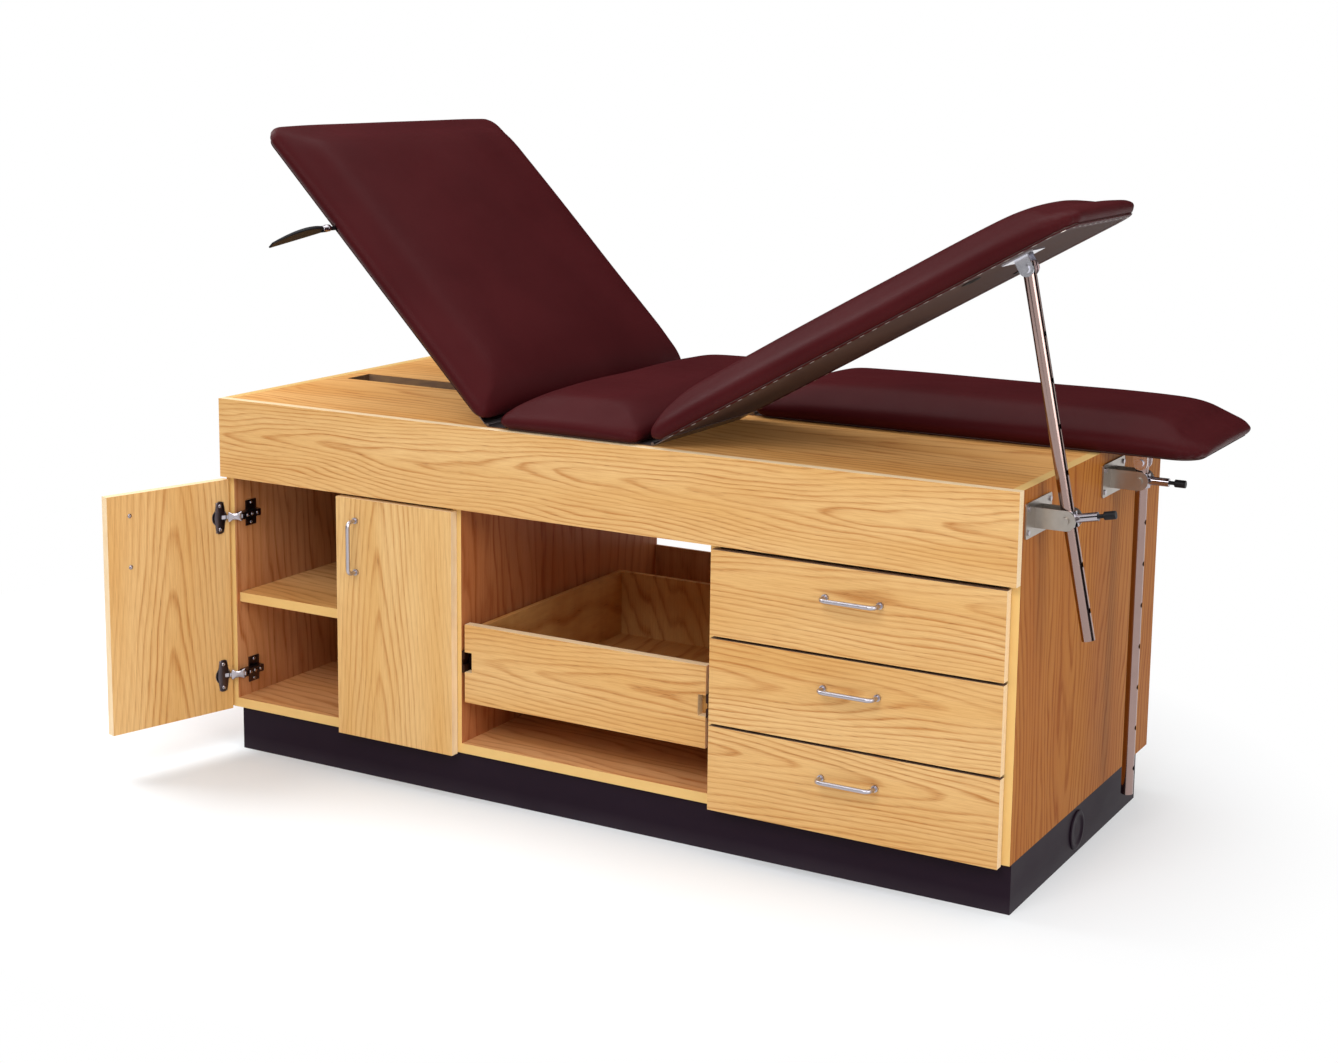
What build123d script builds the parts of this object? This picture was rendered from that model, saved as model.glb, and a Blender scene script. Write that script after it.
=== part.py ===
from build123d import *
import math
import os

# Medical exam table: a wooden cabinet with a cupboard, a pull-out tray and three drawers,
# under a padded top in four sections: a tilting backrest, a fixed seat and two lifting leg rests.
# Millimetres. The origin is on the floor under the middle of the cabinet.
# +X points to the foot end, +Y to the back and +Z up. Doors and drawers face -Y.
# It stands as it is used: backrest up, front leg rest up, left door open.

os.makedirs("parts", exist_ok=True)

# ---- cabinet ----
CABINET_LENGTH = 1676.0
CABINET_DEPTH = 762.0
CABINET_TOP = 724.0
PANEL = 19.0
FRONT_THICKNESS = 18.0
FRONT_GAP = 1.0
BASE_HEIGHT = 88.0
BASE_SETBACK = 27.0
BASE_REAR_SETBACK = 68.0
BASE_HEAD_INSET = 24.0
FASCIA_HEIGHT = 158.0
BACK_THICKNESS = 6.0
BACK_INSET = 6.0
TRAY_BACK_TOP = 350.0
SHELF_BOTTOM = 306.0
SHELF_SETBACK = 10.0
SHELF_END_GAP = 1.0
SHELF_PIN_RADIUS = 2.5
SHELF_PIN_DEPTH = 6.0
SHELF_PIN_REACH = 10.0
CROSS_BOARD_SPACING = 400.0

# ---- doors, drawers and tray ----
FRONTS_BOTTOM = 85.5
FRONTS_TOP = 559.0
FRONTS_RIGHT = 823.0
DRAWER_FRONT_LEFT = 277.0
DRAWER_COUNT = 3
DRAWER_FRONT_GAP = 5.0
DOORS_LEFT = -822.0
DOORS_RIGHT = -276.0
DOOR_GAP = 3.0
LEFT_DOOR_OPEN = 106.0
RIGHT_DOOR_OPEN = 110.0
DOOR_PIVOT_OUTSET = 5.0
DOOR_PIVOT_Y = -364.0
SLIDE_SPACE = 12.7
BOX_WALL = 12.0
BOX_FLOOR = 6.0
BOX_CLEARANCE = 25.0
DRAWER_BOX_DEPTH = 540.0
SLIDE_LENGTH = 500.0
RAIL_THICKNESS = 6.0
RAIL_HEIGHT = 42.0
RUNNER_HEIGHT = 30.0
GROOVE_DEPTH = 4.0
GROOVE_HALF = 5.3
RIB_HALF = 5.0
RIB_REACH = 3.5
TRAY_WIDTH = 520.0
TRAY_BOTTOM = 189.0
TRAY_TOP = 341.0
TRAY_SIDE_DROP = 9.0
TRAY_NOTCH_WIDTH = 16.0
TRAY_NOTCH_BOTTOM = 248.0
TRAY_NOTCH_TOP = 287.0
PULL_CENTRES = 101.6
PULL_REACH = 30.0
PULL_WIRE = 4.0
PULL_BEND = 11.0
PULL_FOOT = 6.0
PULL_FOOT_LENGTH = 5.0
DRAWER_PULL_DROP = 55.0
DOOR_PULL_INSET = 48.0
DOOR_PULL_CENTRE = 466.0

# ---- concealed door hinges ----
HINGE_HEIGHTS = (158.0, 484.0)
CUP_RADIUS = 17.5
CUP_DEPTH = 12.0
CUP_WALL = 1.5
CUP_INSET = 22.5
WING_HALF_HEIGHT = 31.0
WING_HALF_WIDTH = 9.0
WING_THICKNESS = 1.5
LINK_PIVOT_INSET = 11.0
LINK_PIVOT_DEPTH = 9.0
LINK_TO_HORN = 2.0
CLOSED_LINK_TILT = 10.0
LINK_HALF_THICKNESS = 1.5
LINK_HALF_HEIGHT = 3.7
LINK_EYE = 3.4
LINK_PIN = 2.0
LINK_BORE = 2.05
HORN_LENGTH = 12.0
ARM_HALF_HEIGHT = 7.0
ARM_WIDTH = 15.0
ARM_LENGTH = 56.0
ARM_CHEEK_GAP = 4.0
MOUNT_PLATE_HALF_HEIGHT = 26.0
MOUNT_PLATE_THICKNESS = 2.5
MOUNT_PLATE_LENGTH = 30.0

# ---- padded sections ----
PIVOT_Z = 727.5
BOARD_BOTTOM = 725.5
BOARD_THICKNESS = 16.0
BOARD_INSET = 14.0
PAD_BOTTOM = 726.5
PAD_TOP = 786.5
PAD_HALF_WIDTH = 381.0
PAD_EDGE_RADIUS = 28.0
PAD_HINGE_RADIUS = 40.0
PAD_HINGE_STRAIGHT = 20.0
PAD_CORNER = 30.0
PAD_END_CORNER = 35.0
LEG_END_CORNER = 60.0
PAD_TO_PIVOT = 7.0
PAD_END_TAPER = 120.0
PAD_END_THICKNESS = 42.0
SEAT_HEAD_END = -178.0
SEAT_FOOT_END = 123.0
BACKREST_PIVOT_X = -210.0
BACKREST_LENGTH = 730.0
BACKREST_ANGLE = 45.5
LEG_PIVOT_X = 143.0
LEG_LENGTH = 880.0
LEG_HALF_GAP = 4.0

# ---- piano hinges ----
KNUCKLE_RADIUS = 3.0
KNUCKLE_BORE = 1.3
KNUCKLE_PIN = 1.25
KNUCKLE_PITCH = 40.0
KNUCKLE_GAP = 0.4
LEAF_WIDTH = 38.0
LEAF_TOP = 725.5
FIXED_LEAF_THICKNESS = 1.5
MOVING_LEAF_THICKNESS = 1.3
LEAF_RELIEF = 3.6
HINGE_END_MARGIN = 24.0

# ---- leg struts ----
STRUT_PIVOT_REACH = 749.0
CLEVIS_DROP = 25.0
BRACKET_DROP = 57.0
HOLE_PITCH = 76.2
HOLE_COUNT = 7
FRONT_LEG_HOLE = 5
STRUT_SETBACK = 86.0
TUBE_RADIUS = 11.0
TUBE_BORE = 9.5
TUBE_TOP = 12.0
TUBE_BOTTOM = 615.0
TUBE_HOLE_RADIUS = 4.5
CLEVIS_PIN = 4.0
CLEVIS_PIN_BORE = 4.05
CLEVIS_PLATE = 60.0
CLEVIS_PLATE_WIDTH = 56.0
STEEL = 3.0
CLEVIS_EAR_GAP = 11.6
CLEVIS_EAR_HALF = 13.0
COLLAR_RADIUS = 15.0
COLLAR_BORE = 11.06
COLLAR_HALF = 13.0
TRUNNION_RADIUS = 4.0
BRACKET_EAR_GAP = 16.0
BRACKET_EAR_HALF = 17.0
BRACKET_PLATE_HALF_WIDTH = 60.0
BRACKET_PLATE_HALF_HEIGHT = 30.0
PLATE_CORNER = 6.0
SCREW_INSET = 10.0
SCREW_RADIUS = 2.0
SCREW_HEAD = 4.5
SCREW_HEAD_HEIGHT = 2.5
SCREW_LENGTH = 14.0
PIVOT_BOLT_HEAD = 6.5
PIVOT_BOLT_HEIGHT = 4.0
HOUSING_RADIUS = 7.5
HOUSING_LENGTH = 50.0
PLUNGER_RADIUS = 3.5
PLUNGER_BORE = 3.56
PLUNGER_TIP = 11.3
KNOB_START = 60.0
KNOB_RADIUS = 7.0
KNOB_LENGTH = 20.0

# ---- backrest strut ----
STRUT_TOP_REACH = 560.0
STRUT_TOP_DROP = 25.0
STRUT_ANCHOR_REACH = 112.0
STRUT_ANCHOR_DROP = 60.0
CYLINDER_RADIUS = 14.0
CYLINDER_BORE = 12.0
CYLINDER_START = 14.0
CYLINDER_LENGTH = 320.0
CYLINDER_END_WALL = 8.0
ROD_RADIUS = 5.0
ROD_BORE = 5.05
ROD_LENGTH = 265.0
PISTON_RADIUS = 11.95
PISTON_LENGTH = 14.0
EYE_RADIUS = 10.0
EYE_HALF_WIDTH = 6.0
HEAD_HALF_WIDTH = 11.6
HEAD_HALF_LENGTH = 12.0
ANCHOR_STUB = 14.0
ANCHOR_EAR_GAP = 17.0
SLOT_HEAD_END = -787.0
SLOT_FOOT_END = -300.0
SLOT_HALF_WIDTH = 37.5
WELL_BOTTOM = 600.0
WELL_WALL = 12.0
WELL_MARGIN = 1.5

# ---- release lever ----
LEVER_REACH = 485.0
LEVER_RISE = 5.0
LEVER_SHAFT = 4.0
LEVER_GROOVE_HALF = 6.0
LEVER_GROOVE_DEPTH = 11.0
LEVER_INNER_END = -20.0
LEVER_OUTER_END = -412.0
LEVER_COLLAR = 6.0
LEVER_COLLAR_LENGTH = 14.0
PADDLE_LENGTH = 118.0
PADDLE_DROP = 32.0
PADDLE_HALF_WIDTH = 13.0
PADDLE_THICKNESS = 7.0
TAB_LENGTH = 18.0
CLIP_PLACES = (-350.0, -70.0)
CLIP_HALF_LENGTH = 22.0
CLIP_HALF_WIDTH = 9.0
CLIP_THICKNESS = 1.2

# ---- places worked out from the driving dimensions ----
HALF_LENGTH = CABINET_LENGTH / 2
FRONT = -CABINET_DEPTH / 2
REAR = CABINET_DEPTH / 2
CARCASS_FRONT = FRONT + PANEL
FRONTS_BACK = FRONT + FRONT_THICKNESS
INNER_HEAD = -HALF_LENGTH + PANEL
INNER_FOOT = HALF_LENGTH - PANEL
BAY = (CABINET_LENGTH - 4 * PANEL) / 3
LEFT_PARTITION_X = INNER_HEAD + BAY
RIGHT_PARTITION_X = LEFT_PARTITION_X + PANEL + BAY
FLOOR_TOP = BASE_HEIGHT + PANEL
TOP_UNDERSIDE = CABINET_TOP - PANEL
FASCIA_BOTTOM = CABINET_TOP - FASCIA_HEIGHT
BACK_Y = REAR - BACK_INSET - BACK_THICKNESS
DRAWER_FRONT_HEIGHT = (FRONTS_TOP - FRONTS_BOTTOM - (DRAWER_COUNT - 1) * DRAWER_FRONT_GAP) / DRAWER_COUNT
DOOR_WIDTH = (DOORS_RIGHT - DOORS_LEFT - DOOR_GAP) / 2
TRAY_SLIDE_Z = (TRAY_NOTCH_BOTTOM + TRAY_NOTCH_TOP) / 2
BRACKET_X = LEG_PIVOT_X + STRUT_PIVOT_REACH
BRACKET_Z = PIVOT_Z - BRACKET_DROP
FIRST_HOLE = BRACKET_DROP - CLEVIS_DROP


def front_leg_angle():
    """How far the front leg rest is raised when its fifth hole is at the lock."""
    to_clevis = math.hypot(STRUT_PIVOT_REACH, CLEVIS_DROP)
    to_bracket = math.hypot(STRUT_PIVOT_REACH, BRACKET_DROP)
    span = FIRST_HOLE + FRONT_LEG_HOLE * HOLE_PITCH
    cosine = (to_clevis**2 + to_bracket**2 - span**2) / (2 * to_clevis * to_bracket)
    flat = math.atan2(BRACKET_DROP, STRUT_PIVOT_REACH) - math.atan2(CLEVIS_DROP, STRUT_PIVOT_REACH)
    return math.degrees(math.acos(cosine) - flat)


FRONT_LEG_ANGLE = front_leg_angle()


def slab(x, y, z):
    """A box between the lower and upper value given for each axis."""
    corner = Pos(x[0], y[0], z[0])
    return corner * Box(x[1] - x[0], y[1] - y[0], z[1] - z[0], align=(Align.MIN, Align.MIN, Align.MIN))


def rod(start, end, radius):
    """A round bar between two points."""
    axis = Vector(*end) - Vector(*start)
    return Solid.make_cylinder(radius, axis.length, Plane(origin=start, z_dir=axis))


def cross_rod(x, z, y, radius):
    """A round bar along Y, between the two Y values."""
    return rod((x, y[0], z), (x, y[1], z), radius)


def save(node, solids):
    """Writes one node, which may hold several separate solids."""
    found = []
    for shape in solids:
        found.extend(shape.solids())
    export_step(Compound(children=found), f"parts/{node}.step")


def raised(shape, pivot_x, degrees):
    """Turns a shape built flat about a pivot along Y: a positive angle lifts its head end."""
    return shape.rotate(Axis((pivot_x, 0, PIVOT_Z), (0, 1, 0)), degrees)


# ---------------------------------------------------------------- cabinet
def build_base():
    left = -HALF_LENGTH + BASE_HEAD_INSET
    front = FRONT + BASE_SETBACK
    rear = REAR - BASE_REAR_SETBACK
    z = (0, BASE_HEIGHT)
    boards = [slab((left, HALF_LENGTH), (front, front + PANEL), z)]
    boards.append(slab((left, HALF_LENGTH), (rear - PANEL, rear), z))
    inner = (front + PANEL, rear - PANEL)
    places = [left, HALF_LENGTH - PANEL]
    for step in (-1, 0, 1):
        places.append(step * CROSS_BOARD_SPACING - PANEL / 2)
    for x in places:
        boards.append(slab((x, x + PANEL), inner, z))
    save("base_frame", boards)


def pin_places():
    """Height, depth and face of each shelf pin, with the way it points."""
    z = SHELF_BOTTOM - SHELF_PIN_RADIUS
    for y in (CARCASS_FRONT + 3 * PANEL, BACK_Y - 3 * PANEL):
        yield (INNER_HEAD, y, z, 1)
        yield (LEFT_PARTITION_X, y, z, -1)


def shelf_pin_holes():
    holes = []
    for x, y, z, way in pin_places():
        holes.append(rod((x, y, z), (x - way * SHELF_PIN_DEPTH, y, z), SHELF_PIN_RADIUS))
    return holes


def bracket_screw_places():
    for y in strut_places():
        for across in (-1, 1):
            for up in (-1, 1):
                yield (
                    y + across * (BRACKET_PLATE_HALF_WIDTH - SCREW_INSET),
                    BRACKET_Z + up * (BRACKET_PLATE_HALF_HEIGHT - SCREW_INSET),
                )


def strut_places():
    """Both leg rests are alike, so each strut is as far in from its leg rest's front side."""
    return (-PAD_HALF_WIDTH + STRUT_SETBACK, LEG_HALF_GAP + STRUT_SETBACK)


def build_panels():
    depth = (CARCASS_FRONT, REAR)
    height = (BASE_HEIGHT, CABINET_TOP)
    holes = shelf_pin_holes()
    head = slab((-HALF_LENGTH, INNER_HEAD), depth, height)
    for hole in holes:
        head -= hole
    save("head_end_panel", [head])
    foot = slab((INNER_FOOT, HALF_LENGTH), depth, height)
    for y, z in bracket_screw_places():
        foot -= rod((HALF_LENGTH, y, z), (HALF_LENGTH - SCREW_LENGTH, y, z), SCREW_RADIUS)
    save("foot_end_panel", [foot])
    inner_depth = (CARCASS_FRONT, BACK_Y + BACK_THICKNESS)
    inner_height = (FLOOR_TOP, TOP_UNDERSIDE)
    left = slab((LEFT_PARTITION_X, LEFT_PARTITION_X + PANEL), inner_depth, inner_height)
    for hole in holes:
        left -= hole
    save("left_partition", [left])
    right = slab((RIGHT_PARTITION_X, RIGHT_PARTITION_X + PANEL), inner_depth, inner_height)
    save("right_partition", [right])
    save("bottom_panel", [slab((INNER_HEAD, INNER_FOOT), depth, (BASE_HEIGHT, FLOOR_TOP))])
    fascia = slab((-HALF_LENGTH, HALF_LENGTH), (FRONT, CARCASS_FRONT), (FASCIA_BOTTOM, CABINET_TOP))
    save("front_fascia", [fascia])


def build_top():
    top = slab((INNER_HEAD, INNER_FOOT), (CARCASS_FRONT, REAR), (TOP_UNDERSIDE, CABINET_TOP))
    slot = slab(
        (SLOT_HEAD_END, SLOT_FOOT_END),
        (-SLOT_HALF_WIDTH, SLOT_HALF_WIDTH),
        (TOP_UNDERSIDE, CABINET_TOP),
    )
    save("top_panel", [top - slot])


def build_backs():
    y = (BACK_Y, BACK_Y + BACK_THICKNESS)
    tops = (TOP_UNDERSIDE, TRAY_BACK_TOP, TOP_UNDERSIDE)
    starts = (INNER_HEAD, LEFT_PARTITION_X + PANEL, RIGHT_PARTITION_X + PANEL)
    backs = []
    for x, top in zip(starts, tops):
        backs.append(slab((x, x + BAY), y, (FLOOR_TOP, top)))
    save("back_panels", backs)


def build_shelf():
    x = (INNER_HEAD + SHELF_END_GAP, LEFT_PARTITION_X - SHELF_END_GAP)
    y = (CARCASS_FRONT + SHELF_SETBACK, BACK_Y - SHELF_END_GAP)
    save("cupboard_shelf", [slab(x, y, (SHELF_BOTTOM, SHELF_BOTTOM + PANEL))])
    pins = []
    for px, py, pz, way in pin_places():
        start = (px - way * SHELF_PIN_DEPTH, py, pz)
        pins.append(rod(start, (px + way * SHELF_PIN_REACH, py, pz), SHELF_PIN_RADIUS))
    save("shelf_pins", pins)


def build_well():
    """The boards of the pocket that the backrest strut folds down into."""
    inner = SLOT_HALF_WIDTH + WELL_MARGIN
    x = (SLOT_HEAD_END - WELL_MARGIN, SLOT_FOOT_END + WELL_MARGIN)
    z = (WELL_BOTTOM, TOP_UNDERSIDE)
    boards = []
    for y in ((-inner - WELL_WALL, -inner), (inner, inner + WELL_WALL)):
        boards.append(slab(x, y, z))
    for end in ((x[0] - WELL_WALL, x[0]), (x[1], x[1] + WELL_WALL)):
        boards.append(slab(end, (-inner - WELL_WALL, inner + WELL_WALL), z))
    floor_x = (x[0] - WELL_WALL, x[1] + WELL_WALL)
    floor_y = (-inner - WELL_WALL, inner + WELL_WALL)
    boards.append(slab(floor_x, floor_y, (WELL_BOTTOM - WELL_WALL, WELL_BOTTOM)))
    save("strut_well", boards)


# ---------------------------------------------------------------- slides and boxes
def rail(face_x, way, z):
    """A fixed slide member on a wall face, with its groove towards the drawer."""
    inner = face_x + way * RAIL_THICKNESS
    y = (CARCASS_FRONT + FRONT_GAP, CARCASS_FRONT + FRONT_GAP + SLIDE_LENGTH)
    body = slab(sorted((face_x, inner)), y, (z - RAIL_HEIGHT / 2, z + RAIL_HEIGHT / 2))
    groove = sorted((inner - way * GROOVE_DEPTH, inner))
    return body - slab(groove, y, (z - GROOVE_HALF, z + GROOVE_HALF))


def runner(face_x, way, y, z):
    """A moving slide member on the side of a drawer, with a rib that runs in the rail."""
    outer = face_x + way * RAIL_THICKNESS
    body = slab(sorted((face_x, outer)), y, (z - RUNNER_HEIGHT / 2, z + RUNNER_HEIGHT / 2))
    rib = slab(sorted((outer, outer + way * RIB_REACH)), y, (z - RIB_HALF, z + RIB_HALF))
    return body + rib


def open_box(x, y, z):
    """A drawer body: four walls and a floor, open at the top."""
    inside = slab(
        (x[0] + BOX_WALL, x[1] - BOX_WALL),
        (y[0] + BOX_WALL, y[1] - BOX_WALL),
        (z[0] + BOX_FLOOR, z[1]),
    )
    return slab(x, y, z) - inside


def wire_pull(centre, along, out):
    """A bent wire handle on two feet. along joins its feet and out points away from the face."""
    middle = Vector(*centre)
    half = Vector(*along) * (PULL_CENTRES / 2)
    reach = Vector(*out) * (PULL_REACH - PULL_WIRE)
    corners = [middle - half, middle - half + reach, middle + half + reach, middle + half]
    path = FilletPolyline(*corners, radius=PULL_BEND)
    wire = sweep(Plane(origin=corners[0], z_dir=reach) * Circle(PULL_WIRE), path=path)
    foot = Vector(*out) * PULL_FOOT_LENGTH
    for end in (corners[0], corners[3]):
        wire += rod(end, end + foot, PULL_FOOT)
    return wire


def drawer_names():
    return ("bottom_drawer", "middle_drawer", "top_drawer")


def drawer_front_span(number):
    bottom = FRONTS_BOTTOM + number * (DRAWER_FRONT_HEIGHT + DRAWER_FRONT_GAP)
    return (bottom, bottom + DRAWER_FRONT_HEIGHT)


def build_drawers():
    bay = (RIGHT_PARTITION_X + PANEL, INNER_FOOT)
    box_x = (bay[0] + SLIDE_SPACE, bay[1] - SLIDE_SPACE)
    box_y = (FRONTS_BACK, FRONTS_BACK + DRAWER_BOX_DEPTH)
    run_y = (FRONTS_BACK + FRONT_GAP, FRONTS_BACK + FRONT_GAP + SLIDE_LENGTH)
    pull_x = (DRAWER_FRONT_LEFT + FRONTS_RIGHT) / 2
    for number, name in enumerate(drawer_names()):
        z = drawer_front_span(number)
        front = slab((DRAWER_FRONT_LEFT, FRONTS_RIGHT), (FRONT, FRONTS_BACK), z)
        save(f"{name}_front", [front])
        save(f"{name}_box", [open_box(box_x, box_y, (z[0] + BOX_CLEARANCE, z[1] - BOX_CLEARANCE))])
        middle = (z[0] + z[1]) / 2
        pull = wire_pull((pull_x, FRONT, z[1] - DRAWER_PULL_DROP), (1, 0, 0), (0, -1, 0))
        runners = [runner(box_x[0], -1, run_y, middle), runner(box_x[1], 1, run_y, middle)]
        save(f"{name}_hardware", [pull] + runners)


def build_tray():
    half = TRAY_WIDTH / 2
    front_y = (CARCASS_FRONT + FRONT_GAP, CARCASS_FRONT + FRONT_GAP + FRONT_THICKNESS)
    front = slab((-half, half), front_y, (TRAY_BOTTOM, TRAY_TOP))
    for x in ((-half, -half + TRAY_NOTCH_WIDTH), (half - TRAY_NOTCH_WIDTH, half)):
        front -= slab(x, front_y, (TRAY_NOTCH_BOTTOM, TRAY_NOTCH_TOP))
    save("tray_front", [front])
    box_half = BAY / 2 - SLIDE_SPACE
    box_y = (front_y[1], front_y[1] + DRAWER_BOX_DEPTH)
    box = open_box((-box_half, box_half), box_y, (TRAY_BOTTOM + BOX_FLOOR / 2, TRAY_TOP - TRAY_SIDE_DROP))
    save("tray_box", [box])
    run_y = (front_y[1], front_y[1] + SLIDE_LENGTH)
    runners = [runner(-box_half, -1, run_y, TRAY_SLIDE_Z), runner(box_half, 1, run_y, TRAY_SLIDE_Z)]
    save("tray_runners", runners)


def build_rails():
    rails = [rail(-BAY / 2, 1, TRAY_SLIDE_Z), rail(BAY / 2, -1, TRAY_SLIDE_Z)]
    for number in range(DRAWER_COUNT):
        z = sum(drawer_front_span(number)) / 2
        rails.append(rail(RIGHT_PARTITION_X + PANEL, 1, z))
        rails.append(rail(INNER_FOOT, -1, z))
    save("slide_rails", rails)


# ---------------------------------------------------------------- doors
def hinge_side(side):
    """A door's hinge edge, the X direction from it into the door, its panel face and its open angle."""
    if side == "left":
        return (DOORS_LEFT, 1, INNER_HEAD, -LEFT_DOOR_OPEN)
    return (DOORS_RIGHT, -1, LEFT_PARTITION_X, RIGHT_DOOR_OPEN)


def door_pivot(side):
    edge, way, face, turn = hinge_side(side)
    return Vector(edge - way * DOOR_PIVOT_OUTSET, DOOR_PIVOT_Y, 0)


def left_door_swing(shape):
    return shape.rotate(Axis(door_pivot("left"), (0, 0, 1)), -LEFT_DOOR_OPEN)


def link_pivot(side):
    edge, way, face, turn = hinge_side(side)
    return Vector(face + way * LINK_PIVOT_INSET, CARCASS_FRONT + LINK_PIVOT_DEPTH, 0)


def open_link(side):
    """From a hinge link's pivot to the middle of the hinge cup, with the door open."""
    edge, way, face, turn = hinge_side(side)
    pivot = door_pivot(side)
    cup = Vector(edge + way * CUP_INSET, FRONTS_BACK, 0) - pivot
    return cup.rotate(Axis.Z, turn) + pivot - link_pivot(side)


def heading(vector):
    return math.degrees(math.atan2(vector.Y, vector.X))


def link(side, z, degrees):
    """A flat hinge link, from its pin outwards."""
    length = open_link(side).length - HORN_LENGTH - LINK_TO_HORN
    height = (-LINK_HALF_HEIGHT, LINK_HALF_HEIGHT)
    bar = slab((0, length), (-LINK_HALF_THICKNESS, LINK_HALF_THICKNESS), height)
    bar += rod((0, 0, height[0]), (0, 0, height[1]), LINK_EYE)
    bar -= rod((0, 0, height[0]), (0, 0, height[1]), LINK_BORE)
    pivot = link_pivot(side)
    return Pos(pivot.X, pivot.Y, z) * Rot(0, 0, degrees) * bar


def build_links():
    angle = heading(open_link("left"))
    save("left_hinge_links", [link("left", z, angle) for z in HINGE_HEIGHTS])
    angle = 180 + CLOSED_LINK_TILT
    save("right_hinge_links", [link("right", z, angle) for z in HINGE_HEIGHTS])


def hinge_arm(side, z):
    """The cabinet side of a concealed hinge: a plate on the panel and a forked arm with the pin."""
    edge, way, face, turn = hinge_side(side)
    pivot = link_pivot(side)
    y = (pivot.Y - LINK_EYE, pivot.Y - LINK_EYE + ARM_LENGTH)
    plate_x = sorted((face, face + way * MOUNT_PLATE_THICKNESS))
    plate_z = (z - MOUNT_PLATE_HALF_HEIGHT, z + MOUNT_PLATE_HALF_HEIGHT)
    arm = slab(plate_x, (y[1] - MOUNT_PLATE_LENGTH, y[1]), plate_z)
    arm_x = sorted((face, face + way * ARM_WIDTH))
    arm += slab(arm_x, y, (z - ARM_HALF_HEIGHT, z + ARM_HALF_HEIGHT))
    fork_y = (pivot.Y - 2 * LINK_EYE, pivot.Y + 2 * LINK_EYE)
    arm -= slab(arm_x, fork_y, (z - ARM_CHEEK_GAP, z + ARM_CHEEK_GAP))
    pin_z = (z - ARM_HALF_HEIGHT, z + ARM_HALF_HEIGHT)
    return arm + rod((pivot.X, pivot.Y, pin_z[0]), (pivot.X, pivot.Y, pin_z[1]), LINK_PIN)


def build_hinge_arms():
    arms = []
    for z in HINGE_HEIGHTS:
        arms.append(hinge_arm("left", z))
        arms.append(hinge_arm("right", z))
    save("hinge_arms", arms)


def hinge_cup(side, z):
    """The door side of a concealed hinge, door shut: a cup, two wings and a horn towards its link."""
    edge, way, face, turn = hinge_side(side)
    x = edge + way * CUP_INSET
    y = FRONTS_BACK
    cup = rod((x, y - CUP_DEPTH, z), (x, y, z), CUP_RADIUS)
    cup -= rod((x, y - CUP_DEPTH + CUP_WALL, z), (x, y, z), CUP_RADIUS - CUP_WALL)
    wing_x = (x - WING_HALF_WIDTH, x + WING_HALF_WIDTH)
    wing_z = (z - WING_HALF_HEIGHT, z + WING_HALF_HEIGHT)
    wing = slab(wing_x, (y, y + WING_THICKNESS), wing_z)
    thickness = (-LINK_HALF_THICKNESS, LINK_HALF_THICKNESS)
    horn = slab((0, HORN_LENGTH), thickness, (-LINK_HALF_HEIGHT, LINK_HALF_HEIGHT))
    to_link = open_link(side).rotate(Axis.Z, -turn) * -1
    horn = Pos(x, y, z) * Rot(0, 0, heading(to_link)) * horn
    return cup + wing + horn


def door_leaf(x, cup_x):
    leaf = slab(x, (FRONT, FRONTS_BACK), (FRONTS_BOTTOM, FRONTS_TOP))
    for z in HINGE_HEIGHTS:
        leaf -= rod((cup_x, FRONTS_BACK - CUP_DEPTH, z), (cup_x, FRONTS_BACK, z), CUP_RADIUS)
    return leaf


def door_pull(x):
    return wire_pull((x, FRONT, DOOR_PULL_CENTRE), (0, 0, 1), (0, -1, 0))


def build_doors():
    x = (DOORS_LEFT, DOORS_LEFT + DOOR_WIDTH)
    save("left_door", [left_door_swing(door_leaf(x, x[0] + CUP_INSET))])
    fittings = [door_pull(x[1] - DOOR_PULL_INSET)]
    fittings += [hinge_cup("left", z) for z in HINGE_HEIGHTS]
    save("left_door_fittings", [left_door_swing(piece) for piece in fittings])
    x = (DOORS_RIGHT - DOOR_WIDTH, DOORS_RIGHT)
    save("right_door", [door_leaf(x, x[1] - CUP_INSET)])
    fittings = [door_pull(x[0] + DOOR_PULL_INSET)]
    fittings += [hinge_cup("right", z) for z in HINGE_HEIGHTS]
    save("right_door_fittings", fittings)


# ---------------------------------------------------------------- piano hinges
def knuckle_spans(y):
    """The stretches of a piano hinge's knuckles, one after another along Y."""
    count = max(3, round((y[1] - y[0]) / KNUCKLE_PITCH))
    pitch = (y[1] - y[0]) / count
    for number in range(count):
        low = y[0] + number * pitch + KNUCKLE_GAP / 2
        yield number, (low, low + pitch - KNUCKLE_GAP)


def hinge_leaf(pivot_x, way, y, thickness, first):
    """One leaf of a piano hinge. way points from the pin to the leaf's edge.
    first is 0 for the leaf that has the end knuckles and carries the pin."""
    z = (LEAF_TOP - thickness, LEAF_TOP)
    edge = pivot_x + way * LEAF_WIDTH
    leaf = slab(sorted((pivot_x + way * LEAF_RELIEF, edge)), y, z)
    for number, span in knuckle_spans(y):
        if number % 2 == first:
            leaf += slab(sorted((pivot_x, pivot_x + way * LEAF_RELIEF)), span, z)
            leaf += cross_rod(pivot_x, PIVOT_Z, span, KNUCKLE_RADIUS)
            leaf -= cross_rod(pivot_x, PIVOT_Z, span, KNUCKLE_BORE)
    if first == 0:
        leaf += cross_rod(pivot_x, PIVOT_Z, (y[0] + KNUCKLE_GAP, y[1] - KNUCKLE_GAP), KNUCKLE_PIN)
        low = (y[0] + KNUCKLE_GAP, y[0] + LEAF_WIDTH / 4)
        high = (y[1] - LEAF_WIDTH / 4, y[1] - KNUCKLE_GAP)
        for end in (low, high):
            leaf += cross_rod(pivot_x, PIVOT_Z, end, KNUCKLE_BORE)
    return leaf


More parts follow.
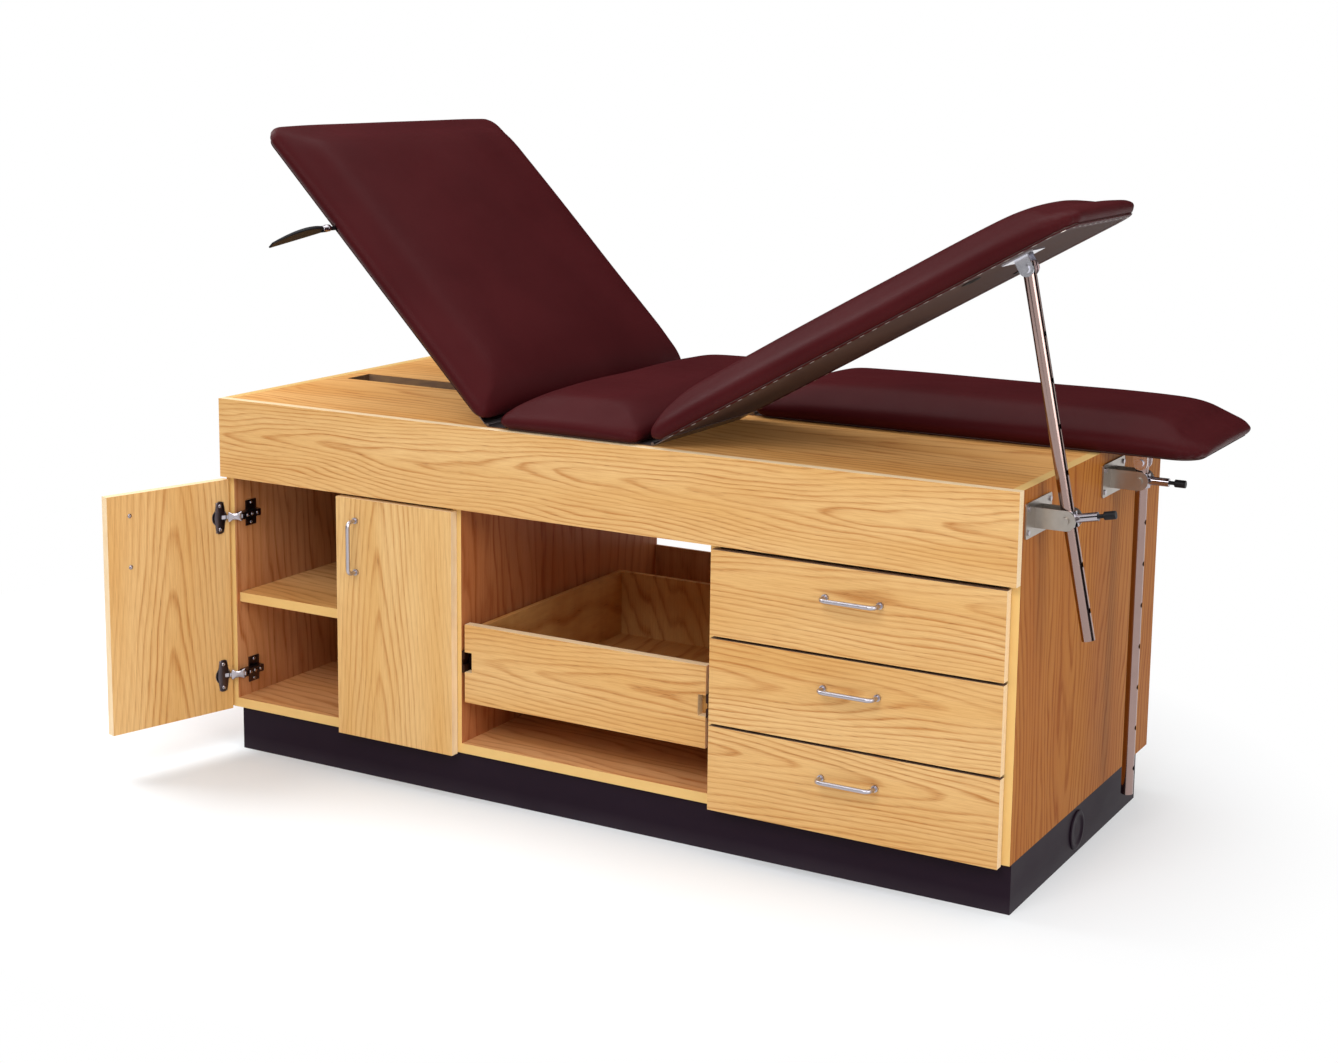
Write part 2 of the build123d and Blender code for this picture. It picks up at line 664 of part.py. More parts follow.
def leg_sides():
    return {
        "front": (-PAD_HALF_WIDTH, -LEG_HALF_GAP),
        "rear": (LEG_HALF_GAP, PAD_HALF_WIDTH),
    }


def hinge_span(y):
    return (y[0] + HINGE_END_MARGIN, y[1] - HINGE_END_MARGIN)


def build_fixed_leaves():
    leaves = []
    for y in leg_sides().values():
        leaves.append(hinge_leaf(LEG_PIVOT_X, -1, hinge_span(y), FIXED_LEAF_THICKNESS, 0))
    back_span = hinge_span((-PAD_HALF_WIDTH, PAD_HALF_WIDTH))
    leaves.append(hinge_leaf(BACKREST_PIVOT_X, 1, back_span, FIXED_LEAF_THICKNESS, 0))
    save("fixed_hinge_leaves", leaves)


# ---------------------------------------------------------------- padded sections
def rounded_plan(x, y, radii, z):
    """An upright block whose plan is a rectangle with its own radius at each X end."""
    block = slab(x, y, z)
    low = block.edges().filter_by(Axis.Z).filter_by(lambda edge: abs(edge.center().X - x[0]) < 1)
    block = fillet(low, radii[0])
    high = block.edges().filter_by(Axis.Z).filter_by(lambda edge: abs(edge.center().X - x[1]) < 1)
    return fillet(high, radii[1])


def board(x, y, radii):
    inset = BOARD_INSET
    span = (x[0] + inset, x[1] - inset)
    smaller = (radii[0] - inset, radii[1] - inset)
    z = (BOARD_BOTTOM, BOARD_BOTTOM + BOARD_THICKNESS)
    return rounded_plan(span, (y[0] + inset, y[1] - inset), smaller, z)


def pad(x, y, radii, hinge_way):
    """Foam and cover: a block with rounded top edges that wraps the sides of its board.
    hinge_way is the X direction of its hinge end, or 0 on the fixed seat."""
    block = rounded_plan(x, y, radii, (PAD_BOTTOM, PAD_TOP))
    block = fillet(block.faces().sort_by(Axis.Z)[-1].edges(), PAD_EDGE_RADIUS)
    if hinge_way:
        block = block & pad_profile(x, y, hinge_way)
    return block - board(x, y, radii)


def pad_profile(x, y, hinge_way):
    """A prism along Y. Its hinge end curves back, so that it clears its neighbour as it tilts,
    and its free end thins out."""
    hinge_end = x[1] if hinge_way > 0 else x[0]
    free_end = x[0] if hinge_way > 0 else x[1]
    shoulder = hinge_end - hinge_way * PAD_HINGE_RADIUS
    middle = math.sqrt(0.5) * PAD_HINGE_RADIUS
    on_arc = (shoulder + hinge_way * middle, PAD_TOP - PAD_HINGE_RADIUS + middle)
    straight_top = PAD_BOTTOM + PAD_HINGE_STRAIGHT
    thin_top = PAD_BOTTOM + PAD_END_THICKNESS
    taper_start = free_end + hinge_way * PAD_END_TAPER
    taper_middle = (free_end + hinge_way * PAD_END_TAPER / 2, thin_top + (PAD_TOP - thin_top) * 3 / 4)
    outline = [
        Line((free_end, PAD_BOTTOM), (hinge_end, PAD_BOTTOM)),
        Line((hinge_end, PAD_BOTTOM), (hinge_end, straight_top)),
        ThreePointArc((hinge_end, straight_top), on_arc, (shoulder, PAD_TOP)),
        Line((shoulder, PAD_TOP), (taper_start, PAD_TOP)),
        ThreePointArc((taper_start, PAD_TOP), taper_middle, (free_end, thin_top)),
        Line((free_end, thin_top), (free_end, PAD_BOTTOM)),
    ]
    face = make_face(outline)
    return Pos(0, y[1], 0) * Rot(90, 0, 0) * extrude(face, y[1] - y[0])


def build_seat():
    x = (SEAT_HEAD_END, SEAT_FOOT_END)
    y = (-PAD_HALF_WIDTH, PAD_HALF_WIDTH)
    radii = (PAD_CORNER, PAD_CORNER)
    save("seat_board", [board(x, y, radii)])
    save("seat_cushion", [pad(x, y, radii, 0)])


# ---------------------------------------------------------------- backrest
def lean(shape):
    return raised(shape, BACKREST_PIVOT_X, BACKREST_ANGLE)


def backrest_point(reach, height):
    """X and Z of a point on the leaning backrest, from its flat reach and height over the pivot."""
    angle = math.radians(BACKREST_ANGLE)
    x = BACKREST_PIVOT_X - reach * math.cos(angle) + height * math.sin(angle)
    z = PIVOT_Z + reach * math.sin(angle) + height * math.cos(angle)
    return (x, z)


def lever_groove():
    x = BACKREST_PIVOT_X - LEVER_REACH
    sides = (x - LEVER_GROOVE_HALF, x + LEVER_GROOVE_HALF)
    y = (-PAD_HALF_WIDTH, LEVER_INNER_END + 2 * LEVER_SHAFT)
    return slab(sides, y, (BOARD_BOTTOM, BOARD_BOTTOM + LEVER_GROOVE_DEPTH))


def build_backrest():
    x = (BACKREST_PIVOT_X - BACKREST_LENGTH, BACKREST_PIVOT_X - PAD_TO_PIVOT)
    y = (-PAD_HALF_WIDTH, PAD_HALF_WIDTH)
    radii = (PAD_END_CORNER, PAD_CORNER)
    save("backrest_board", [lean(board(x, y, radii) - lever_groove())])
    save("backrest_cushion", [lean(pad(x, y, radii, 1) - lever_groove())])
    leaf = hinge_leaf(BACKREST_PIVOT_X, -1, hinge_span(y), MOVING_LEAF_THICKNESS, 1)
    save("backrest_hinge_leaf", [lean(leaf)])


def build_rod_bracket():
    """The fork under the backrest that holds the top of the strut."""
    x = BACKREST_PIVOT_X - STRUT_TOP_REACH
    z = PIVOT_Z - STRUT_TOP_DROP
    plate_x = (x - EYE_RADIUS - STEEL, x + 3 * EYE_RADIUS)
    half = HEAD_HALF_WIDTH + 0.4
    bracket = slab(plate_x, (-3 * EYE_RADIUS, 3 * EYE_RADIUS), (BOARD_BOTTOM - STEEL, BOARD_BOTTOM))
    for y in ((-half - STEEL, -half), (half, half + STEEL)):
        ear = slab((x - EYE_RADIUS, x + EYE_RADIUS), y, (z, BOARD_BOTTOM))
        bracket += ear + cross_rod(x, z, y, EYE_RADIUS)
    bracket += cross_rod(x, z, (-half - STEEL, half + STEEL), CLEVIS_PIN)
    save("rod_bracket", [lean(bracket)])


def strut_ends():
    top = backrest_point(STRUT_TOP_REACH, -STRUT_TOP_DROP)
    foot = (BACKREST_PIVOT_X - STRUT_ANCHOR_REACH, PIVOT_Z - STRUT_ANCHOR_DROP)
    return top, foot


def along_strut(shape):
    """Places a shape built along +X from the top pivot so that it points at the anchor."""
    top, foot = strut_ends()
    angle = math.degrees(math.atan2(foot[1] - top[1], foot[0] - top[0]))
    return Pos(top[0], 0, top[1]) * Rot(0, -angle, 0) * shape


def strut_length():
    top, foot = strut_ends()
    return math.hypot(foot[0] - top[0], foot[1] - top[1])


def build_strut():
    head_x = (-HEAD_HALF_LENGTH, HEAD_HALF_LENGTH)
    head_y = (-HEAD_HALF_WIDTH, HEAD_HALF_WIDTH)
    head = slab(head_x, head_y, (-EYE_RADIUS, EYE_RADIUS))
    head = fillet(head.edges().filter_by(Axis.Y), EYE_RADIUS / 2)
    piece = head + rod((0, 0, 0), (ROD_LENGTH, 0, 0), ROD_RADIUS)
    piece += rod((ROD_LENGTH - PISTON_LENGTH, 0, 0), (ROD_LENGTH, 0, 0), PISTON_RADIUS)
    piece -= cross_rod(0, 0, head_y, CLEVIS_PIN_BORE)
    save("strut_rod", [along_strut(piece)])
    foot = strut_length()
    near = foot - CYLINDER_LENGTH
    far = foot - CYLINDER_START
    tube = rod((near, 0, 0), (far, 0, 0), CYLINDER_RADIUS)
    tube -= rod((near + CYLINDER_END_WALL, 0, 0), (far - CYLINDER_END_WALL, 0, 0), CYLINDER_BORE)
    tube -= rod((near, 0, 0), (near + CYLINDER_END_WALL, 0, 0), ROD_BORE)
    tube += rod((far, 0, 0), (foot, 0, 0), EYE_HALF_WIDTH)
    tube += cross_rod(foot, 0, (-EYE_HALF_WIDTH, EYE_HALF_WIDTH), EYE_RADIUS)
    tube += cross_rod(foot, 0, (-ANCHOR_STUB, ANCHOR_STUB), CLEVIS_PIN)
    save("strut_cylinder", [along_strut(tube)])


def build_anchor():
    """The fork on the floor of the well. Its two bolts stop short of the strut's stub pin."""
    x, z = strut_ends()[1]
    half = 3 * EYE_RADIUS
    outer = ANCHOR_EAR_GAP + STEEL
    plate = slab((x - half, x + EYE_RADIUS), (-outer, outer), (WELL_BOTTOM, WELL_BOTTOM + STEEL))
    for way in (-1, 1):
        y = sorted((way * ANCHOR_EAR_GAP, way * outer))
        plate += slab((x - EYE_RADIUS, x + EYE_RADIUS), y, (WELL_BOTTOM, z))
        plate += cross_rod(x, z, y, EYE_RADIUS)
        head = sorted((way * outer, way * (outer + PIVOT_BOLT_HEIGHT)))
        plate += cross_rod(x, z, head, PIVOT_BOLT_HEAD)
    save("strut_anchor", [plate])


def paddle(x, z, y):
    """The lever's grip: a flat blade that leaves the shaft end and drops away from the board."""
    start = Plane(origin=(x, y, z), z_dir=(0, -1, 0))
    middle = Plane(origin=(x, y - PADDLE_LENGTH / 3, z - PADDLE_DROP / 8), z_dir=(0, -1, 0))
    end = Plane(origin=(x, y - PADDLE_LENGTH, z - PADDLE_DROP), z_dir=(0, -1, 0))
    shapes = [
        start * RectangleRounded(2 * PADDLE_THICKNESS, PADDLE_THICKNESS, PADDLE_THICKNESS / 3),
        middle * RectangleRounded(2 * PADDLE_HALF_WIDTH, PADDLE_THICKNESS, PADDLE_THICKNESS / 3),
        end * RectangleRounded(PADDLE_HALF_WIDTH, PADDLE_THICKNESS / 2, PADDLE_THICKNESS / 6),
    ]
    return loft(shapes)


def build_lever():
    x = BACKREST_PIVOT_X - LEVER_REACH
    z = BOARD_BOTTOM + LEVER_RISE
    lever = cross_rod(x, z, (LEVER_OUTER_END, LEVER_INNER_END), LEVER_SHAFT)
    lever += cross_rod(x, z, (LEVER_OUTER_END, LEVER_OUTER_END + LEVER_COLLAR_LENGTH), LEVER_COLLAR)
    lever += paddle(x, z, LEVER_OUTER_END)
    tab_y = (LEVER_INNER_END - 2 * LEVER_SHAFT, LEVER_INNER_END)
    lever += slab((x - LEVER_SHAFT / 2, x + LEVER_SHAFT / 2), tab_y, (z - TAB_LENGTH, z))
    save("release_lever", [lean(lever)])
    clips = []
    for y in CLIP_PLACES:
        span = (y - CLIP_HALF_WIDTH, y + CLIP_HALF_WIDTH)
        clip_z = (BOARD_BOTTOM - CLIP_THICKNESS, BOARD_BOTTOM)
        clips.append(lean(slab((x - CLIP_HALF_LENGTH, x + CLIP_HALF_LENGTH), span, clip_z)))
    save("lever_clips", clips)


# ---------------------------------------------------------------- leg rests
def clevis(y):
    """The fork under a leg rest that holds the top of its tube."""
    x = LEG_PIVOT_X + STRUT_PIVOT_REACH
    z = PIVOT_Z - CLEVIS_DROP
    half = CLEVIS_PLATE / 2
    wide = CLEVIS_PLATE_WIDTH / 2
    fork = slab((x - half, x + half), (y - wide, y + wide), (BOARD_BOTTOM - STEEL, BOARD_BOTTOM))
    for way in (-1, 1):
        ear_y = sorted((y + way * CLEVIS_EAR_GAP, y + way * (CLEVIS_EAR_GAP + STEEL)))
        fork += slab((x - CLEVIS_EAR_HALF, x + CLEVIS_EAR_HALF), ear_y, (z, BOARD_BOTTOM))
        fork += cross_rod(x, z, ear_y, CLEVIS_EAR_HALF)
        head = sorted((ear_y[0 if way < 0 else 1], ear_y[0 if way < 0 else 1] + way * PIVOT_BOLT_HEIGHT))
        fork += cross_rod(x, z, head, PIVOT_BOLT_HEAD)
    return fork + cross_rod(x, z, (y - CLEVIS_EAR_GAP, y + CLEVIS_EAR_GAP), CLEVIS_PIN)


def tube(first_hole):
    """A strut tube that hangs down from its top pivot at the origin, with holes on its +X side."""
    body = rod((0, 0, TUBE_TOP), (0, 0, -TUBE_BOTTOM), TUBE_RADIUS)
    body -= rod((0, 0, TUBE_TOP), (0, 0, -TUBE_BOTTOM), TUBE_BORE)
    body -= cross_rod(0, 0, (-TUBE_RADIUS - 1, TUBE_RADIUS + 1), CLEVIS_PIN_BORE)
    for number in range(first_hole, HOLE_COUNT + 1):
        z = -(FIRST_HOLE + number * HOLE_PITCH)
        body -= rod((0, 0, z), (2 * TUBE_RADIUS, 0, z), TUBE_HOLE_RADIUS)
    return body


def sleeve(distance):
    """The collar on the tube with its plunger housing, the given distance under the top pivot."""
    z = -distance
    collar = rod((0, 0, z - COLLAR_HALF), (0, 0, z + COLLAR_HALF), COLLAR_RADIUS)
    collar += rod((0, 0, z), (HOUSING_LENGTH, 0, z), HOUSING_RADIUS)
    collar += cross_rod(0, z, (-BRACKET_EAR_GAP + 0.3, BRACKET_EAR_GAP - 0.3), TRUNNION_RADIUS)
    collar -= rod((0, 0, z - COLLAR_HALF), (0, 0, z + COLLAR_HALF), COLLAR_BORE)
    return collar - rod((0, 0, z), (HOUSING_LENGTH, 0, z), PLUNGER_BORE)


def plunger(distance):
    """The lock pin, drawn back just clear of the tube, and its knob."""
    z = -distance
    pin = rod((PLUNGER_TIP, 0, z), (KNOB_START, 0, z), PLUNGER_RADIUS)
    knob = rod((KNOB_START, 0, z), (KNOB_START + KNOB_LENGTH, 0, z), KNOB_RADIUS)
    return [pin, fillet(knob.edges(), KNOB_RADIUS / 5)]


def build_leg(name, y, strut_y, angle, hole, first_hole):
    x = (LEG_PIVOT_X + PAD_TO_PIVOT, LEG_PIVOT_X + LEG_LENGTH)
    radii = (PAD_CORNER, LEG_END_CORNER)
    save(f"{name}_leg_board", [raised(board(x, y, radii), LEG_PIVOT_X, -angle)])
    save(f"{name}_leg_cushion", [raised(pad(x, y, radii, -1), LEG_PIVOT_X, -angle)])
    leaf = hinge_leaf(LEG_PIVOT_X, 1, hinge_span(y), MOVING_LEAF_THICKNESS, 1)
    save(f"{name}_leg_hinge_leaf", [raised(leaf, LEG_PIVOT_X, -angle)])
    save(f"{name}_leg_clevis", [raised(clevis(strut_y), LEG_PIVOT_X, -angle)])
    turn = math.radians(angle)
    top_x = LEG_PIVOT_X + STRUT_PIVOT_REACH * math.cos(turn) + CLEVIS_DROP * math.sin(turn)
    top_z = PIVOT_Z + STRUT_PIVOT_REACH * math.sin(turn) - CLEVIS_DROP * math.cos(turn)
    tilt = math.degrees(math.atan2(BRACKET_X - top_x, top_z - BRACKET_Z))
    place = Pos(top_x, strut_y, top_z) * Rot(0, -tilt, 0)
    distance = FIRST_HOLE + hole * HOLE_PITCH
    save(f"{name}_leg_tube", [place * tube(first_hole)])
    save(f"{name}_lock_sleeve", [place * sleeve(distance)])
    save(f"{name}_lock_plunger", [place * piece for piece in plunger(distance)])


def build_legs():
    sides = leg_sides()
    front_y, rear_y = strut_places()
    build_leg("front", sides["front"], front_y, FRONT_LEG_ANGLE, FRONT_LEG_HOLE, 1)
    build_leg("rear", sides["rear"], rear_y, 0.0, 0, 0)


# ---------------------------------------------------------------- end brackets
def end_bracket(y):
    """The steel plate and ears on the foot end panel that hold a lock sleeve."""
    plate_y = (y - BRACKET_PLATE_HALF_WIDTH, y + BRACKET_PLATE_HALF_WIDTH)
    plate_z = (BRACKET_Z - BRACKET_PLATE_HALF_HEIGHT, BRACKET_Z + BRACKET_PLATE_HALF_HEIGHT)
    bracket = slab((HALF_LENGTH, HALF_LENGTH + STEEL), plate_y, plate_z)
    bracket = fillet(bracket.edges().filter_by(Axis.X), PLATE_CORNER)
    for way in (-1, 1):
        inner = y + way * BRACKET_EAR_GAP
        outer = y + way * (BRACKET_EAR_GAP + STEEL)
        ear_y = sorted((inner, outer))
        half = BRACKET_EAR_HALF
        bracket += slab((HALF_LENGTH, BRACKET_X), ear_y, (BRACKET_Z - half, BRACKET_Z + half))
        bracket += cross_rod(BRACKET_X, BRACKET_Z, ear_y, half)
        head = sorted((outer, outer + way * PIVOT_BOLT_HEIGHT))
        bracket += cross_rod(BRACKET_X, BRACKET_Z, head, PIVOT_BOLT_HEAD)
    for screw_y, screw_z in bracket_screw_places():
        start = (HALF_LENGTH, screw_y, screw_z)
        bracket -= rod(start, (HALF_LENGTH + STEEL, screw_y, screw_z), SCREW_RADIUS)
    return bracket


def build_brackets():
    save("leg_brackets", [end_bracket(y) for y in strut_places()])
    screws = []
    face = HALF_LENGTH + STEEL
    for y, z in bracket_screw_places():
        screw = rod((HALF_LENGTH - SCREW_LENGTH, y, z), (face, y, z), SCREW_RADIUS)
        screws.append(screw + rod((face, y, z), (face + SCREW_HEAD_HEIGHT, y, z), SCREW_HEAD))
    save("bracket_screws", screws)


build_base()
build_panels()
build_top()
build_backs()
build_shelf()
build_well()
build_rails()
build_drawers()
build_tray()
build_hinge_arms()
build_links()
build_doors()
build_fixed_leaves()
build_seat()
build_backrest()
build_rod_bracket()
build_strut()
build_anchor()
build_lever()
build_legs()
build_brackets()
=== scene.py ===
import math

import bmesh
import bpy
import numpy as np
from mathutils import Matrix, Vector


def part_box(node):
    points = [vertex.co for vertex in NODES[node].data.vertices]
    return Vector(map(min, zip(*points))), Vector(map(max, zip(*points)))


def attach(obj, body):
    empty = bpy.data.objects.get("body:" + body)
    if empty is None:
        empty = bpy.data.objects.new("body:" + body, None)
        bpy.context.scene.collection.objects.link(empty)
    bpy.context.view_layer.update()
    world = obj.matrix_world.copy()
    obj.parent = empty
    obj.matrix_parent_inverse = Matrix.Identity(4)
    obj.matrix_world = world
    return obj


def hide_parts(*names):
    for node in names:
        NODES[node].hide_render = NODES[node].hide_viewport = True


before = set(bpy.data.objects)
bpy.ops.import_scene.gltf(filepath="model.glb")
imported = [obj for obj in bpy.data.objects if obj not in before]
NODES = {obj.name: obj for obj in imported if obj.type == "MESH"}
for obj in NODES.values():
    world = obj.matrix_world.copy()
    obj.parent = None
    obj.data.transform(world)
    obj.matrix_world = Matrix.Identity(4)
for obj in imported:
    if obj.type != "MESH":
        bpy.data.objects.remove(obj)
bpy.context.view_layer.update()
SCENE = bpy.context.scene
X, Y, Z = (1, 0, 0), (0, 1, 0), (0, 0, 1)

# Places that the CAD gives only through its solids, in metres and degrees.
PIVOT_Z = 0.7275
BACKREST_PIVOT_X = -0.210
LEG_PIVOT_X = 0.143
BACKREST_LEAN = 45.5
FRONT_LEG_RAISE = 29.5105
BOARD_UNDERSIDE = 0.7255
PAD_UNDERSIDE = 0.7265
LEFT_DOOR_OPEN = 106.0
LEFT_DOOR_PIVOT = Vector((-0.827, -0.364, 0))
DOOR_INNER_FACE = -0.363
HINGE_HEIGHTS = (0.158, 0.484)
# For each door: its hinged edge, the board that its hinges' arms stand on, and the way to its middle.
DOORS = {"left": (-0.822, -0.819, 1), "right": (-0.276, -0.2857, -1)}
DRAWERS = ("top_drawer", "middle_drawer", "bottom_drawer")
PULL_FROM_EDGE = 0.2235
PULL_HEIGHT = 0.466
PULL_HALF = 0.0508


# ------------------------------------------------------------------ small tools
def link(name, mesh):
    obj = bpy.data.objects.new(name, mesh)
    SCENE.collection.objects.link(obj)
    return obj


def shade_smooth(mesh, smooth=True):
    for polygon in mesh.polygons:
        polygon.use_smooth = smooth


def from_bmesh(name, bm):
    mesh = bpy.data.meshes.new(name)
    bm.normal_update()
    bm.to_mesh(mesh)
    bm.free()
    shade_smooth(mesh)
    return link(name, mesh)


def coordinates(mesh):
    co = np.zeros(len(mesh.vertices) * 3)
    mesh.vertices.foreach_get("co", co)
    return co.reshape(-1, 3)


def set_coordinates(mesh, co):
    mesh.vertices.foreach_set("co", np.asarray(co, float).ravel())
    mesh.update()


def smoothstep(low, high, value):
    t = np.clip((value - low) / (high - low), 0, 1)
    return t * t * (3 - 2 * t)


def fade_out(low, high, value):
    return 1 - smoothstep(low, high, value)


def signed_power(value, exponent):
    return math.copysign(abs(value) ** exponent, value)


def srgb(red, green, blue):
    """A colour from its 0 to 255 display values."""
    out = []
    for value in (red, green, blue):
        c = value / 255
        out.append(c / 12.92 if c <= 0.04045 else ((c + 0.055) / 1.055) ** 2.4)
    return (*out, 1.0)


def turn_about(centre, degrees, axis):
    """The matrix that turns something about an axis through centre."""
    turn = Matrix.Rotation(math.radians(degrees), 4, axis)
    return Matrix.Translation(centre) @ turn @ Matrix.Translation(-centre)


LEAN = {
    "backrest": turn_about(Vector((BACKREST_PIVOT_X, 0, PIVOT_Z)), BACKREST_LEAN, "Y"),
    "front_leg": turn_about(Vector((LEG_PIVOT_X, 0, PIVOT_Z)), -FRONT_LEG_RAISE, "Y"),
    "rear_leg": Matrix.Identity(4),
    "cabinet": Matrix.Identity(4),
}
# The matrices that take places on a shut door to the door at rest.
DOOR_SWING = {
    "left": turn_about(LEFT_DOOR_PIVOT, -LEFT_DOOR_OPEN, "Z"),
    "right": Matrix.Identity(4),
}


# ------------------------------------------------------------------ materials
def put(tree, socket, value):
    """Sets a socket's value, or links it to another socket."""
    if isinstance(value, bpy.types.NodeSocket):
        tree.links.new(value, socket)
    elif value is not None:
        socket.default_value = value


def add_node(tree, kind, *values, operation=None):
    """A shader node, its first inputs set or linked to values."""
    node = tree.nodes.new("ShaderNode" + kind)
    if operation:
        node.operation = operation
    for socket, value in zip(node.inputs, values):
        put(tree, socket, value)
    return node


class Shader:
    """A node material built up one call at a time."""

    def __init__(self, name):
        self.material = bpy.data.materials.new(name)
        self.material.use_nodes = True
        self.tree = self.material.node_tree
        self.tree.nodes.clear()
        self.surface = self.add("BsdfPrincipled")
        self.output = self.add("OutputMaterial", self.surface.outputs[0])
        coords = self.add("TexCoord")
        self.place = coords.outputs["Object"]
        self.normal = coords.outputs["Normal"]

    def add(self, kind, *values, operation=None):
        return add_node(self.tree, kind, *values, operation=operation)

    def math(self, operation, *values):
        return self.add("Math", *values, operation=operation).outputs[0]

    def times(self, vector, scales):
        return self.add("VectorMath", vector, scales, operation="MULTIPLY").outputs[0]

    def dot(self, a, b):
        return self.add("VectorMath", a, tuple(b), operation="DOT_PRODUCT").outputs["Value"]

    def axes(self):
        """The place's X, Y and Z."""
        return self.add("SeparateXYZ", self.place).outputs

    def noise(self, vector, scale=1.0, detail=2.0, roughness=0.5):
        node = self.add("TexNoise", vector)
        for name, value in (("Scale", scale), ("Detail", detail), ("Roughness", roughness)):
            node.inputs[name].default_value = value
        return node.outputs[0]

    def ramp(self, value, stops):
        node = self.add("ValToRGB", value)
        elements = node.color_ramp.elements
        while len(elements) < len(stops):
            elements.new(0.5)
        for element, (place, level) in zip(elements, stops):
            element.position = place
            element.color = (level, level, level, 1)
        return node.outputs[0]

    def mix(self, factor, a, b, blend="MIX"):
        node = self.add("Mix")
        node.data_type = "RGBA"
        node.blend_type = blend
        for number, value in ((0, factor), (6, a), (7, b)):
            put(self.tree, node.inputs[number], value)
        return node.outputs[2]

    def span(self, value, low, high, to_low=0.0, to_high=1.0):
        return self.add("MapRange", value, low, high, to_low, to_high).outputs[0]

    def bump(self, height, distance, strength):
        node = self.add("Bump")
        for name, value in (("Strength", strength), ("Distance", distance), ("Height", height)):
            put(self.tree, node.inputs[name], value)
        return node.outputs[0]

    def set(self, **sockets):
        for name, value in sockets.items():
            put(self.tree, self.surface.inputs[name.replace("_", " ")], value)


OAK_LIGHT = srgb(232, 192, 132)
OAK_WARM = srgb(220, 172, 106)
OAK_GRAIN = srgb(180, 116, 56)
OAK_PORE = srgb(128, 82, 46)
OAK_ROUGHNESS = 0.42
EDGE_BAND = srgb(250, 224, 184)
CARCASS_BAND = srgb(230, 192, 124)
# The particle board core, seen in the top's slot; on the drawer fronts' edges it is painted shade for the
# gaps between them.
CORE_AND_GAP_SHADE = srgb(132, 104, 86)
# Painted shade on the end panels' oak, with a more saturated orange.
END_SHADE_AND_ORANGE = (0.61, 0.36, 0.13)
# Painted shade on the partitions inside the cupboard.
INNER_PAINTED_SHADE = (0.69, 0.41, 0.37)
# One growth ring: how dark the wood is from its start to its end.
RING = [(0.0, 0.62), (0.07, 0.10), (0.40, 0.0), (0.68, 0.26), (0.90, 1.0), (1.0, 0.62)]


